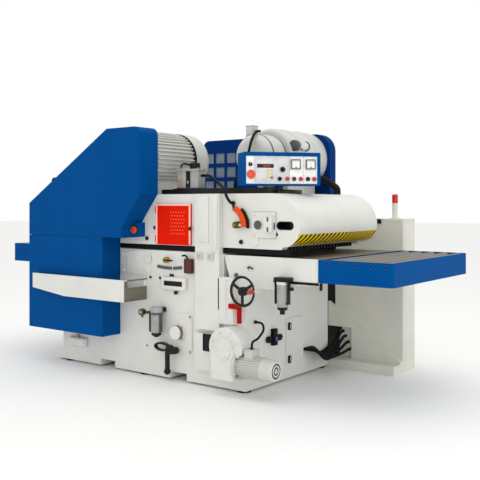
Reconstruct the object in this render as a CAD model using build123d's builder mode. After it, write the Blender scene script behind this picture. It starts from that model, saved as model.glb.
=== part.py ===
"""Double-sided planer: base, infeed unit and lifting head, each made of separate pieces.

Units are millimetres. X runs along the feed and points to the infeed end, Y points away from
the operator's side, Z is up, and the origin is on the floor under the middle of the machine.
"""
import os
from math import cos, radians, sin, tan

from build123d import *

os.makedirs("parts", exist_ok=True)

# Clearances
RUN = 0.4          # round running fits and sliding faces between bodies
LIFT = 0.5         # room under a body that is raised

# Heights
PAD_HEIGHT = 14
BASE_TOP = 670
BED_TOP = 870      # infeed bed and infeed table
CUT_STEP = 6       # the fixed bed stands this much above the lowered infeed bed
BOARD_GAP = 46     # infeed bed to head
HEAD_HEIGHT = 346
FIXED_BED_TOP = BED_TOP + CUT_STEP
HEAD_BOTTOM = BED_TOP + BOARD_GAP
HEAD_TOP = HEAD_BOTTOM + HEAD_HEIGHT

# Side planes and ends of the base
NEAR = -575
FAR = 435
BASE_LEFT = -1073
BASE_RIGHT = 672
BASE_WALL = 30
BASE_FLOOR = 80
FOOT_FLARE = 83
FOOT_HEIGHT = 98
POCKET_CENTRES = (-580, 106)
POCKET_WIDTH = 150
POCKET_TOP = 60
PAD_RADIUS = 45
PAD_INSET = 50

# Fixed bed and outfeed table
BED_RIGHT = 495
BED_WALL = 35
BED_PLATE = 40
OUT_END = -1685
OUT_NEAR = -570
OUT_FAR = 500
TABLE_DEPTH = 136
TABLE_SHEET = 12

# Cutterheads
CUT_RADIUS = 62
CUT_PROJECTION = 1          # cutting circle past the bed or head face
KNIFE_RADIUS_STEP = 4       # body under the cutting circle
LOWER_CUT_X = -900
UPPER_CUT_X = -560
CUT_POCKET = 150            # length of the opening round a cutterhead
SPINDLE_RADIUS = 25
SIDE_PLATE = 60
END_GAP = 10                # cutterhead end to side plate
PULLEY_NEAR = -690
PULLEY_WIDTH = 80
CUT_PULLEY_RADIUS = 70
BELT_THICKNESS = 9
BELT_SIDE_ROOM = 5

# Belt guards on the near side
GUARD_FRONT = -750
GUARD_SHEET = 4
GUARD_LEFT = -1261
GUARD_SEAM = 963
SEAM_GAP = 2
LOWER_GUARD_RIGHT = -450
LOWER_GUARD_BOTTOM = 264
GUARD_SHOULDER = 1203       # height where the long slope starts
GUARD_TOP = 1720
SLOPE_END_X = -407
UPPER_GUARD_RIGHT = -83
NECK_X = -263
NECK_TOP = 1031
CHIN_TOP = 1266             # height where the right edge turns inwards
GUARD_CORNER = 55

# Side tray in front of the lower guard
TRAY_LEFT = -1155
TRAY_RIGHT = -186
TRAY_FRONT = -800
TRAY_TOP = 676
TRAY_BOTTOM = 532
TRAY_RISE = 40
TRAY_RISE_END = -813
TRAY_SHEET = 4
NOTCH_DEPTH = 54
NOTCH_MARGIN = 32

# Columns and lift screws
COLUMN_LEFT = 289
COLUMN_RIGHT = 488
COLUMN_DEPTH = 41
COLUMN_BOTTOM = 382
COLUMN_TOP = 878
SCREW_RADIUS = 12
SCREW_SEAT = 640
LIFT_TRAVEL = 150
SCREW_ENGAGE = 122          # screw left in the upper column at full lift
SCREW_TOP = COLUMN_TOP + LIFT_TRAVEL + SCREW_ENGAGE
SLIT_WIDTH = 9
SLIT_BOTTOM = 520
SLIT_TOP = 722
SLIT_DEPTH = 14
VENT_BOX = (284, 451, 116, 356)     # left, right, bottom, top
VENT_DEPTH = 40
SCALE_BOX = (602, 432, 730)         # right, bottom, top
SCALE_GAP = 1

# Infeed unit
BED_LEFT = 497
BED_FOOT_LEFT = 560
BED_END = 1209
BED_ROOT_BOTTOM = BASE_TOP + LIFT
BED_TAPER_X = 880
BED_TIP_BOTTOM = 730
BED_MOUTH_DROP = 20         # underside opening runs past the tapered edge
TABLE_END = 1685
TABLE_NEAR = -590
TABLE_FAR = 520
TABLE_WALL = 18
TABLE_CORNER = 14
ROLLER_START = 64           # first axis from the bed's end
ROLLER_PITCH = 92
ROLLER_LAST = 44            # least room from the last axis to the table's end
ROLLER_RADIUS = 23
ROLLER_END_GAP = 6
AXLE_RADIUS = 10
WHEEL_X = 737
WHEEL_FACE = -704
WHEEL_RADIUS = 97
RIM_RADIUS = 9
WHEEL_SHAFT_RADIUS = 10
WHEEL_DROP = 8.5            # shaft under the bed's foot
WHEEL_BOSS = 28

# Head
HEAD_LEFT = -680
HOOD_FLAT_START = 800
HOOD_CENTRE_X = 860
HOOD_CENTRE_RISE = 134
HOOD_CENTRE_Z = HEAD_BOTTOM + HOOD_CENTRE_RISE
HOOD_RADIUS = HEAD_TOP - HOOD_CENTRE_Z
LIP_RADIUS = 118
HOOD_SHEET = 5
LIP_RETURN = 14
TOP_PLATE = 30
DOOR_LEFT = -90
DOOR_RIGHT = 226
DOOR_TOP = 1196
DOOR_BOTTOM = 920
DOOR_SHEET = 4
DOOR_STAND_OFF = 10
DOOR_RIM = 26
HINGE_RADIUS = 5
HINGE_INSET = 40
HINGE_HALF_LENGTH = 22

# Rear guard
REAR_GUARD_LEFT = -491
REAR_GUARD_RIGHT = 710
REAR_GUARD_TOP = 1711
REAR_GUARD_DEPTH = 80
REAR_GUARD_SEAT = 30        # lap on the far side plate
REAR_CORNER = (60, 130)    # left, right
REAR_WINDOW = (90, 82)      # width, height
REAR_WINDOW_PITCH = (112, 113)
REAR_WINDOW_GRID = (3, 3)    # columns, rows
REAR_WINDOW_START = (-474, 1298)

# Motors on the head: the upper one fills the height of its guard
FIN_COUNT = 44
FIN_DEPTH = 16
FIN_WIDTH = 8
UPPER_MOTOR_X = -290
UPPER_MOTOR_RAISE = 21      # axis above the middle of that height
UPPER_MOTOR_CLEAR = 45      # under the barrel
UPPER_MOTOR_Z = (HEAD_TOP + GUARD_TOP) / 2 + UPPER_MOTOR_RAISE
UPPER_MOTOR_RADIUS = UPPER_MOTOR_Z - HEAD_TOP - UPPER_MOTOR_CLEAR
UPPER_MOTOR_NEAR = -560
UPPER_MOTOR_LENGTH = 400
FAN_COVER_LENGTH = 185
MOTOR_SHAFT_RADIUS = 24
MOTOR_PULLEY_RADIUS = 100
MOTOR_FOOT_WIDTH = 260
MOTOR_FOOT_INSET = 50
FAN_COVER_EDGE = 70
REAR_MOTOR_X = 480
REAR_MOTOR_RADIUS = 205
REAR_MOTOR_CLEAR = 53
REAR_MOTOR_Z = HEAD_TOP + REAR_MOTOR_CLEAR + REAR_MOTOR_RADIUS
REAR_MOTOR_NEAR = -258
REAR_FAN_LENGTH = 208
REAR_FAN_STEP = 50          # fan end smaller than the barrel
REAR_FAN_RADIUS = REAR_MOTOR_RADIUS - REAR_FAN_STEP
REAR_FAN_EDGE = 60
REAR_BODY_EDGE = 30
REAR_FAN_LAP = 40

# Buttons
BUTTON_TRAVEL = 4
MUSHROOM_RADIUS = 26
MUSHROOM_HEIGHT = 16
MUSHROOM_EDGE = 7
STEM_RADIUS = 9
STEM_LENGTH = 24
BORE_DEPTH = STEM_LENGTH + 2 * BUTTON_TRAVEL

# Feed inside the head
FEED_ROLLER_X = 740
FEED_ROLLER_RADIUS = 48
FEED_SHAFT_RADIUS = 20
FINGER_X = 905
FINGER_Z = HEAD_BOTTOM + 94
FINGER_SHAFT_RADIUS = 12
FINGER_PITCH = 40
FINGER_THICKNESS = 14
FINGER_DROP = 108
FINGER_ROOT = 18            # half width of a finger at the shaft
FINGER_TIP = (12, 28)       # tip's edges right of the shaft


def block(x, y, z, mode=Mode.ADD):
    """Add or cut a box given by its two ends on each axis."""
    with Locations(((x[0] + x[1]) / 2, (y[0] + y[1]) / 2, (z[0] + z[1]) / 2)):
        Box(x[1] - x[0], y[1] - y[0], z[1] - z[0], mode=mode)


def rod_y(x, z, radius, y, mode=Mode.ADD):
    """Add or cut a round bar along Y."""
    with BuildSketch(Plane.XZ.offset(-y[0])) as section:
        with Locations((x, z)):
            Circle(radius)
    extrude(section.sketch, amount=y[0] - y[1], mode=mode)


def rod_x(y, z, radius, x, mode=Mode.ADD):
    """Add or cut a round bar along X."""
    with BuildSketch(Plane.YZ.offset(x[0])) as section:
        with Locations((y, z)):
            Circle(radius)
    extrude(section.sketch, amount=x[1] - x[0], mode=mode)


def rod_z(x, y, radius, z, mode=Mode.ADD):
    """Add or cut an upright round bar."""
    with BuildSketch(Plane.XY.offset(z[0])) as section:
        with Locations((x, y)):
            Circle(radius)
    extrude(section.sketch, amount=z[1] - z[0], mode=mode)


def side_prism(points, y, mode=Mode.ADD):
    """Add or cut a prism with an XZ outline running along Y."""
    with BuildSketch(Plane.XZ.offset(-y[0])) as outline:
        with BuildLine():
            Polyline(*points, close=True)
        make_face()
    extrude(outline.sketch, amount=y[0] - y[1], mode=mode)


def save(part, name):
    """Label a finished piece and write it."""
    part.label = name
    export_step(part, f"parts/{name}.step")


# Base frame: hollow box with a flared left foot, forklift pockets and an end opening
HATCH_NEAR = -125
HATCH_FAR = 75
HATCH_BOTTOM = 104
HATCH_TOP = 420
HATCH_LAP = 22
HATCH_SHEET = 6
hatch_hole_y = (HATCH_NEAR + HATCH_LAP, HATCH_FAR - HATCH_LAP)
hatch_hole_z = (HATCH_BOTTOM + HATCH_LAP, HATCH_TOP - HATCH_LAP)
cavity_x = (BASE_LEFT + BASE_WALL, BASE_RIGHT - BASE_WALL)
cavity_y = (NEAR + BASE_WALL, FAR - BASE_WALL)
with BuildPart() as base_frame:
    block((BASE_LEFT, BASE_RIGHT), (NEAR, FAR), (PAD_HEIGHT, BASE_TOP))
    flare = ((BASE_LEFT, PAD_HEIGHT), (BASE_LEFT - FOOT_FLARE, PAD_HEIGHT), (BASE_LEFT, FOOT_HEIGHT))
    side_prism(flare, (NEAR, FAR))
    block(cavity_x, cavity_y, (BASE_FLOOR, BASE_TOP), mode=Mode.SUBTRACT)
    for centre in POCKET_CENTRES:
        pocket_x = (centre - POCKET_WIDTH / 2, centre + POCKET_WIDTH / 2)
        block(pocket_x, (NEAR, FAR), (PAD_HEIGHT, POCKET_TOP), mode=Mode.SUBTRACT)
    block((BASE_RIGHT - BASE_WALL, BASE_RIGHT), hatch_hole_y, hatch_hole_z, mode=Mode.SUBTRACT)
save(base_frame.part, "base_frame")

pad_x = (BASE_LEFT + PAD_INSET, sum(POCKET_CENTRES) / 2, BASE_RIGHT - PAD_INSET)
with BuildPart() as levelling_pads:
    for x in pad_x:
        for y in (NEAR + PAD_INSET, FAR - PAD_INSET):
            rod_z(x, y, PAD_RADIUS, (0, PAD_HEIGHT))
save(levelling_pads.part, "levelling_pads")

# Fixed centre bed, open below, cast with a bearing block on each side of the lower cutterhead
lower_cut_z = FIXED_BED_TOP + CUT_PROJECTION - CUT_RADIUS
cut_slot_x = (LOWER_CUT_X - CUT_POCKET / 2, LOWER_CUT_X + CUT_POCKET / 2)
with BuildPart() as centre_bed:
    block((cut_slot_x[1], BED_RIGHT), (NEAR, FAR), (BASE_TOP, FIXED_BED_TOP))
    under_x = (cut_slot_x[1] + BED_WALL, BED_RIGHT - BED_WALL)
    under_z = (BASE_TOP, FIXED_BED_TOP - BED_PLATE)
    block(under_x, (NEAR + BED_WALL, FAR - BED_WALL), under_z, mode=Mode.SUBTRACT)
    for side in ((NEAR, NEAR + SIDE_PLATE), (FAR - SIDE_PLATE, FAR)):
        block(cut_slot_x, side, (BASE_TOP, FIXED_BED_TOP))
        rod_y(LOWER_CUT_X, lower_cut_z, SPINDLE_RADIUS + RUN, side, mode=Mode.SUBTRACT)
save(centre_bed.part, "centre_bed")

# Outfeed table: bracket on the base and a plate with side cheeks
table_bottom = BED_TOP - TABLE_DEPTH
with BuildPart() as outfeed_table:
    block((OUT_END, cut_slot_x[0]), (OUT_NEAR, OUT_FAR), (table_bottom, FIXED_BED_TOP))
    cheek_y = (OUT_NEAR + TABLE_WALL, OUT_FAR - TABLE_WALL)
    trough_x = (OUT_END + TABLE_WALL, BASE_LEFT - BASE_WALL)
    block(trough_x, cheek_y, (table_bottom, FIXED_BED_TOP - BED_PLATE), mode=Mode.SUBTRACT)
    block((BASE_LEFT, cut_slot_x[0]), (OUT_NEAR, FAR), (BASE_TOP, table_bottom))
save(outfeed_table.part, "outfeed_table")

# Lower cutterhead: knife body, spindle and driven pulley in one turned piece
inner_y = (NEAR + SIDE_PLATE, FAR - SIDE_PLATE)
knife_y = (inner_y[0] + END_GAP, inner_y[1] - END_GAP)
pulley_y = (PULLEY_NEAR, PULLEY_NEAR + PULLEY_WIDTH)


def cutterhead(x, z):
    """Add a knife body with four knife slots, its spindle and its belt pulley."""
    rod_y(x, z, CUT_RADIUS - KNIFE_RADIUS_STEP, knife_y)
    with BuildSketch(Plane.XZ.offset(-knife_y[0])) as knives:
        with Locations((x, z)):
            with PolarLocations(0, 4):
                Rectangle(CUT_RADIUS, KNIFE_RADIUS_STEP, align=(Align.MIN, Align.CENTER))
    extrude(knives.sketch, amount=knife_y[0] - knife_y[1])
    rod_y(x, z, SPINDLE_RADIUS, (PULLEY_NEAR - END_GAP, FAR))
    rod_y(x, z, CUT_PULLEY_RADIUS, pulley_y)


with BuildPart() as lower_cutterhead:
    cutterhead(LOWER_CUT_X, lower_cut_z)
save(lower_cutterhead.part, "lower_cutterhead")

# Lower belt guard: closed sheet box, open at the top under the seam
GUARD_HOLE = 12            # room round a spindle in the guard's back sheet
with BuildPart() as lower_belt_guard:
    guard_x = (GUARD_LEFT, LOWER_GUARD_RIGHT)
    guard_z = (LOWER_GUARD_BOTTOM, GUARD_SEAM - SEAM_GAP)
    guard_back = NEAR - RUN
    back_sheet = (guard_back - GUARD_SHEET, guard_back)
    block(guard_x, (GUARD_FRONT, guard_back), guard_z)
    hollow_x = (GUARD_LEFT + GUARD_SHEET, LOWER_GUARD_RIGHT - GUARD_SHEET)
    hollow_y = (GUARD_FRONT + GUARD_SHEET, back_sheet[0])
    hollow_z = (LOWER_GUARD_BOTTOM + GUARD_SHEET, GUARD_SEAM)
    block(hollow_x, hollow_y, hollow_z, mode=Mode.SUBTRACT)
    spindle_hole = SPINDLE_RADIUS + GUARD_HOLE
    rod_y(LOWER_CUT_X, lower_cut_z, spindle_hole, back_sheet, mode=Mode.SUBTRACT)
    upper_cut_z = HEAD_BOTTOM + CUT_RADIUS - CUT_PROJECTION
    notch_x = (UPPER_CUT_X - spindle_hole, UPPER_CUT_X + spindle_hole)
    notch_z = (upper_cut_z - spindle_hole, upper_cut_z)
    block(notch_x, back_sheet, notch_z, mode=Mode.SUBTRACT)
save(lower_belt_guard.part, "lower_belt_guard")

# Side tray: narrow along the guard, wide to its right, with a raised left floor
with BuildPart() as side_tray:
    tray_outline = (
        (TRAY_LEFT, TRAY_TOP),
        (TRAY_LEFT, TRAY_BOTTOM + TRAY_RISE),
        (TRAY_RISE_END, TRAY_BOTTOM),
        (TRAY_RIGHT, TRAY_BOTTOM),
        (TRAY_RIGHT, TRAY_TOP),
    )
    tray_inside = (
        (TRAY_LEFT + TRAY_SHEET, TRAY_TOP),
        (TRAY_LEFT + TRAY_SHEET, TRAY_BOTTOM + TRAY_RISE + TRAY_SHEET),
        (TRAY_RISE_END, TRAY_BOTTOM + TRAY_SHEET),
        (TRAY_RIGHT - TRAY_SHEET, TRAY_BOTTOM + TRAY_SHEET),
        (TRAY_RIGHT - TRAY_SHEET, TRAY_TOP),
    )
    side_prism(tray_outline, (TRAY_FRONT, NEAR))
    side_prism(tray_inside, (TRAY_FRONT + TRAY_SHEET, NEAR - TRAY_SHEET), mode=Mode.SUBTRACT)
    tray_cut_x = (TRAY_LEFT, LOWER_GUARD_RIGHT)
    block(tray_cut_x, (GUARD_FRONT, NEAR), (TRAY_BOTTOM, TRAY_TOP), mode=Mode.SUBTRACT)
    notch_y = (TRAY_FRONT + NOTCH_MARGIN, NEAR - NOTCH_MARGIN)
    end_x = (TRAY_RIGHT - TRAY_SHEET, TRAY_RIGHT)
    block(end_x, notch_y, (TRAY_TOP - NOTCH_DEPTH, TRAY_TOP), mode=Mode.SUBTRACT)
save(side_tray.part, "side_tray")

# Lower columns with screw bores, and the vent box under the near one
column_x = (COLUMN_LEFT, COLUMN_RIGHT)
near_column_y = (NEAR - COLUMN_DEPTH, NEAR)
far_column_y = (FAR, FAR + COLUMN_DEPTH)
screw_x = (COLUMN_LEFT + COLUMN_RIGHT) / 2
screw_y = (sum(near_column_y) / 2, sum(far_column_y) / 2)
with BuildPart() as lower_columns:
    for column_y, bore_y in zip((near_column_y, far_column_y), screw_y):
        block(column_x, column_y, (COLUMN_BOTTOM, COLUMN_TOP))
        rod_z(screw_x, bore_y, SCREW_RADIUS + RUN, (SCREW_SEAT, COLUMN_TOP), mode=Mode.SUBTRACT)
    slit_x = (COLUMN_RIGHT - SLIT_WIDTH, COLUMN_RIGHT)
    slit_y = (near_column_y[0], near_column_y[0] + SLIT_DEPTH)
    block(slit_x, slit_y, (SLIT_BOTTOM, SLIT_TOP), mode=Mode.SUBTRACT)
    vent_left, vent_right, vent_bottom, vent_top = VENT_BOX
    block((vent_left, vent_right), (NEAR - VENT_DEPTH, NEAR), (vent_bottom, vent_top))
    scale_right, scale_bottom, scale_top = SCALE_BOX
    scale_y = (NEAR - COLUMN_DEPTH, NEAR)
    block((COLUMN_RIGHT + SCALE_GAP, scale_right), scale_y, (scale_bottom, scale_top))
save(lower_columns.part, "lower_columns")

for side_name, bore_y in zip(("near", "far"), screw_y):
    with BuildPart() as lift_screw:
        rod_z(screw_x, bore_y, SCREW_RADIUS, (SCREW_SEAT + RUN, SCREW_TOP))
    save(lift_screw.part, f"lift_screw_{side_name}")

# Access cover with a round boss and the seat of the clamp handle
COVER = (-191, 231, 196, 460)
COVER_SHEET = 8
BOSS_X = 118
BOSS_Z = 334
BOSS_RADIUS = 48
BOSS_LENGTH = 46
BOSS_COLLAR_RADIUS = 62
BOSS_COLLAR = 12
BOSS_CHAMFER = 5
COVER_CORNER = 30
CLAMP_X = 71
CLAMP_Z = 216
CLAMP_SEAT_RADIUS = 26
CLAMP_SEAT = 24
cover_face = NEAR - COVER_SHEET
with BuildPart() as access_cover:
    block((COVER[0], COVER[1]), (cover_face, NEAR), (COVER[2], COVER[3]))
    fillet(access_cover.edges().filter_by(Axis.Y), COVER_CORNER)
    rod_y(BOSS_X, BOSS_Z, BOSS_RADIUS, (cover_face - BOSS_LENGTH, cover_face))
    rod_y(BOSS_X, BOSS_Z, BOSS_COLLAR_RADIUS, (cover_face - BOSS_COLLAR, cover_face))
    rod_y(CLAMP_X, CLAMP_Z, CLAMP_SEAT_RADIUS, (cover_face - CLAMP_SEAT, cover_face))
    chamfer(access_cover.faces().sort_by(Axis.Y)[0].edges(), BOSS_CHAMFER)
save(access_cover.part, "access_cover")

# Clamp handle: hub, loop grip to the left, weight to the right and a long arm with a ball
HANDLE_THICKNESS = 26
CLAMP_HUB_RADIUS = 32
LOOP_OFFSET = 70            # middle of the grip loop left of the hub
LOOP_RISE = 14
LOOP_HALF_LENGTH = 66
LOOP_HALF_HEIGHT = 30
LOOP_BAR = 12
WEIGHT_OFFSET = 36
WEIGHT_LENGTH = 70
WEIGHT_HEIGHT = 46
ARM_OFFSET = 24
ARM_WIDTH = 20
ARM_LENGTH = 148
BALL_RADIUS = 23
clamp_seat_y = cover_face - CLAMP_SEAT - RUN
handle_y = (clamp_seat_y - HANDLE_THICKNESS, clamp_seat_y)
with BuildPart() as clamp_handle:
    rod_y(CLAMP_X, CLAMP_Z, CLAMP_HUB_RADIUS, handle_y)
    with BuildSketch(Plane.XZ.offset(-handle_y[0])) as grip:
        with Locations((CLAMP_X - LOOP_OFFSET, CLAMP_Z + LOOP_RISE)):
            Ellipse(LOOP_HALF_LENGTH, LOOP_HALF_HEIGHT)
            Ellipse(LOOP_HALF_LENGTH - LOOP_BAR, LOOP_HALF_HEIGHT - LOOP_BAR, mode=Mode.SUBTRACT)
        with Locations((CLAMP_X + WEIGHT_OFFSET, CLAMP_Z)):
            SlotOverall(WEIGHT_LENGTH, WEIGHT_HEIGHT)
    extrude(grip.sketch, amount=-HANDLE_THICKNESS)
    arm_middle = CLAMP_X - ARM_OFFSET
    arm_x = (arm_middle - ARM_WIDTH / 2, arm_middle + ARM_WIDTH / 2)
    block(arm_x, handle_y, (CLAMP_Z - ARM_LENGTH, CLAMP_Z))
    with Locations((arm_middle, sum(handle_y) / 2, CLAMP_Z - ARM_LENGTH)):
        Sphere(BALL_RADIUS)
save(clamp_handle.part, "clamp_handle")

# Air filter on the base: bracket, head, bowl and a gauge on its left
FILTER_X = -54
FILTER_Y = -645
FILTER_TOP = 500
FILTER_HEAD = 46
FILTER_HALF_WIDTH = 44
FILTER_HALF_DEPTH = 34
FILTER_ARM_HALF_WIDTH = 28
FILTER_ARM_STEP = 8
FILTER_BOWL_RADIUS = 36
FILTER_BOWL = 150
DRAIN_RADIUS = 16
DRAIN = 20
GAUGE_X = -164
GAUGE_RADIUS = 24
GAUGE_PIPE_RADIUS = 9
GAUGE_FRONT = 22
GAUGE_BACK = 12


with BuildPart() as air_filter:
    filter_x = (FILTER_X - FILTER_HALF_WIDTH, FILTER_X + FILTER_HALF_WIDTH)
    filter_y = (FILTER_Y - FILTER_HALF_DEPTH, FILTER_Y + FILTER_HALF_DEPTH)
    filter_head = FILTER_TOP - FILTER_HEAD
    block(filter_x, filter_y, (filter_head, FILTER_TOP))
    arm_x = (FILTER_X - FILTER_ARM_HALF_WIDTH, FILTER_X + FILTER_ARM_HALF_WIDTH)
    arm_z = (filter_head + FILTER_ARM_STEP, FILTER_TOP - FILTER_ARM_STEP)
    block(arm_x, (filter_y[1], NEAR), arm_z)
    bowl_bottom = filter_head - FILTER_BOWL
    rod_z(FILTER_X, FILTER_Y, FILTER_BOWL_RADIUS, (bowl_bottom, filter_head))
    rod_z(FILTER_X, FILTER_Y, DRAIN_RADIUS, (bowl_bottom - DRAIN, filter_head))
    gauge_z = filter_head
    rod_x(FILTER_Y, gauge_z, GAUGE_PIPE_RADIUS, (GAUGE_X, FILTER_X))
    rod_y(GAUGE_X, gauge_z, GAUGE_RADIUS, (FILTER_Y - GAUGE_FRONT, FILTER_Y + GAUGE_BACK))
save(air_filter.part, "air_filter")

# Instruments on the near side: readout box, limit switch, dial knob with its arc scale
READOUT = (-30, 187, 620, 696)
READOUT_DEPTH = 26
READOUT_WINDOW = (-4, 164, 646, 678)
WINDOW_DEPTH = 6
SWITCH = (184, 246, 734, 826)
SWITCH_DEPTH = 34
DIAL_X = 10
DIAL_Z = 815
DIAL_RADIUS = 20
DIAL_DEPTH = 32
POINTER_LENGTH = 52
POINTER_HALF_WIDTH = 7
POINTER_THICKNESS = 10
ARC_RADIUS = 360
ARC_HALF_ANGLE = 15.3
ARC_MIDDLE_X = 27
ARC_DROP = 52               # arc's lowest point under the dial
ARC_WIDTH = 20
ARC_THICKNESS = 8
with BuildPart() as side_instruments:
    block((READOUT[0], READOUT[1]), (NEAR - READOUT_DEPTH, NEAR), (READOUT[2], READOUT[3]))
    window_y = (NEAR - READOUT_DEPTH, NEAR - READOUT_DEPTH + WINDOW_DEPTH)
    window_x = (READOUT_WINDOW[0], READOUT_WINDOW[1])
    block(window_x, window_y, (READOUT_WINDOW[2], READOUT_WINDOW[3]), mode=Mode.SUBTRACT)
    block((SWITCH[0], SWITCH[1]), (NEAR - SWITCH_DEPTH, NEAR), (SWITCH[2], SWITCH[3]))
    dial_face = NEAR - DIAL_DEPTH
    rod_y(DIAL_X, DIAL_Z, DIAL_RADIUS, (dial_face, NEAR))
    pointer_z = (DIAL_Z - POINTER_HALF_WIDTH, DIAL_Z + POINTER_HALF_WIDTH)
    block((DIAL_X, DIAL_X + POINTER_LENGTH), (dial_face, dial_face + POINTER_THICKNESS), pointer_z)
    with BuildSketch(Plane.XZ.offset(-NEAR)) as arc_scale:
        with BuildLine():
            arc_centre = (ARC_MIDDLE_X, DIAL_Z - ARC_DROP + ARC_RADIUS)
            CenterArc(arc_centre, ARC_RADIUS, 270 - ARC_HALF_ANGLE, 2 * ARC_HALF_ANGLE)
        trace(line_width=ARC_WIDTH)
    extrude(arc_scale.sketch, amount=ARC_THICKNESS)
save(side_instruments.part, "side_instruments")

# Feed gear case and feed motor at the near right corner
CASE_LEFT = 492
CASE_RIGHT = BASE_RIGHT
CASE_BOTTOM = 104
CASE_FRONT = -715
CASE_ROUND_X = 600
CASE_ROUND_Z = 300
CASE_ROUND = 128
CASE_STEP = 20              # round stands back from the case's front
CASE_EDGE = 18
CAP_RADIUS = 64
CAP_HEIGHT = 12
FEED_MOTOR_Y = -645
FEED_MOTOR_Z = 192
FEED_FLANGE_RADIUS = 88
FEED_FLANGE = 20
FEED_BODY_RADIUS = 72
FEED_BODY = 168
FEED_FIN_COUNT = 28
FEED_FIN_DEPTH = 8
FEED_FIN_WIDTH = 4
FEED_FAN_RADIUS = 66
FEED_FAN = 88
FEED_FAN_EDGE = 14
FEED_BOX_START = 46         # from the flange
FEED_BOX_LENGTH = 64
FEED_BOX_HALF_WIDTH = 36
FEED_BOX_RISE = 34
feed_motor_x = (CASE_RIGHT, CASE_RIGHT + FEED_FLANGE, CASE_RIGHT + FEED_FLANGE + FEED_BODY)
with BuildPart() as feed_gear_case:
    block((CASE_LEFT, CASE_RIGHT), (CASE_FRONT, NEAR), (CASE_BOTTOM, CASE_ROUND_Z))
    rod_y(CASE_ROUND_X, CASE_ROUND_Z, CASE_ROUND, (CASE_FRONT + CASE_STEP, NEAR))
    fillet(feed_gear_case.edges().filter_by(Axis.Z).group_by(Axis.Y)[0], CASE_EDGE)
    rod_y(CASE_ROUND_X, CASE_ROUND_Z, CAP_RADIUS, (CASE_FRONT - CAP_HEIGHT, NEAR))
    flange_room_x = (CASE_RIGHT, CASE_ROUND_X + CASE_ROUND)
    flange_room = FEED_FLANGE_RADIUS + LIFT
    rod_x(FEED_MOTOR_Y, FEED_MOTOR_Z, flange_room, flange_room_x, mode=Mode.SUBTRACT)
save(feed_gear_case.part, "feed_gear_case")

with BuildPart() as feed_motor:
    rod_x(FEED_MOTOR_Y, FEED_MOTOR_Z, FEED_FLANGE_RADIUS, feed_motor_x[:2])
    with BuildSketch(Plane.YZ.offset(feed_motor_x[1])) as feed_section:
        with Locations((FEED_MOTOR_Y, FEED_MOTOR_Z)):
            Circle(FEED_BODY_RADIUS - FEED_FIN_DEPTH)
            with PolarLocations(0, FEED_FIN_COUNT):
                Rectangle(FEED_BODY_RADIUS, FEED_FIN_WIDTH, align=(Align.MIN, Align.CENTER))
    extrude(feed_section.sketch, amount=FEED_BODY)
    fan_x = (feed_motor_x[2], feed_motor_x[2] + FEED_FAN)
    rod_x(FEED_MOTOR_Y, FEED_MOTOR_Z, FEED_FAN_RADIUS, fan_x)
    fillet(feed_motor.edges().filter_by(GeomType.CIRCLE).sort_by(Axis.X)[-1], FEED_FAN_EDGE)
    terminal_left = feed_motor_x[1] + FEED_BOX_START
    terminal_x = (terminal_left, terminal_left + FEED_BOX_LENGTH)
    terminal_y = (FEED_MOTOR_Y - FEED_BOX_HALF_WIDTH, FEED_MOTOR_Y + FEED_BOX_HALF_WIDTH)
    terminal_z = (FEED_MOTOR_Z, FEED_MOTOR_Z + FEED_BODY_RADIUS + FEED_BOX_RISE)
    block(terminal_x, terminal_y, terminal_z)
save(feed_motor.part, "feed_motor")

# End hatch: sheet with two catches and hinge knuckles on its far edge
KNUCKLE_RADIUS = 5.5
KNUCKLE_OUT = 2             # hinge axis past the sheet's face
KNUCKLE_INSET = 30
CATCH_HEIGHTS = (142, 366)
CATCH_HALF_HEIGHT = 24
CATCH_WIDTH = 22
CATCH_INSET = 20
CATCH_DEPTH = 14
hatch_x = (BASE_RIGHT + RUN, BASE_RIGHT + RUN + HATCH_SHEET)
with BuildPart() as end_hatch:
    block(hatch_x, (HATCH_NEAR, HATCH_FAR), (HATCH_BOTTOM, HATCH_TOP))
    catch_x = (hatch_x[1], hatch_x[1] + CATCH_DEPTH)
    catch_y = (HATCH_NEAR + CATCH_INSET, HATCH_NEAR + CATCH_INSET + CATCH_WIDTH)
    for z in CATCH_HEIGHTS:
        block(catch_x, catch_y, (z - CATCH_HALF_HEIGHT, z + CATCH_HALF_HEIGHT))
    knuckle_z = (HATCH_BOTTOM + KNUCKLE_INSET, HATCH_TOP - KNUCKLE_INSET)
    rod_z(hatch_x[1] + KNUCKLE_OUT, HATCH_FAR, KNUCKLE_RADIUS, knuckle_z)
save(end_hatch.part, "end_hatch")

# Bed lock lever: red angle with a boss on the near wall
LOCK_X = 618
LOCK_Z = 553
LOCK_ARM = (581, 675, 538, 568)
LOCK_LEG = (650, 675, 450, 568)
LOCK_BOSS_RADIUS = 11
LOCK_SEAT = 46
LOCK_THICKNESS = 18
lock_y = (NEAR - LOCK_SEAT - LOCK_THICKNESS, NEAR - LOCK_SEAT)
with BuildPart() as bed_lock_lever:
    block((LOCK_ARM[0], LOCK_ARM[1]), lock_y, (LOCK_ARM[2], LOCK_ARM[3]))
    block((LOCK_LEG[0], LOCK_LEG[1]), lock_y, (LOCK_LEG[2], LOCK_LEG[3]))
    rod_y(LOCK_X, LOCK_Z, LOCK_BOSS_RADIUS, (lock_y[0], NEAR - RUN))
save(bed_lock_lever.part, "bed_lock_lever")

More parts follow.
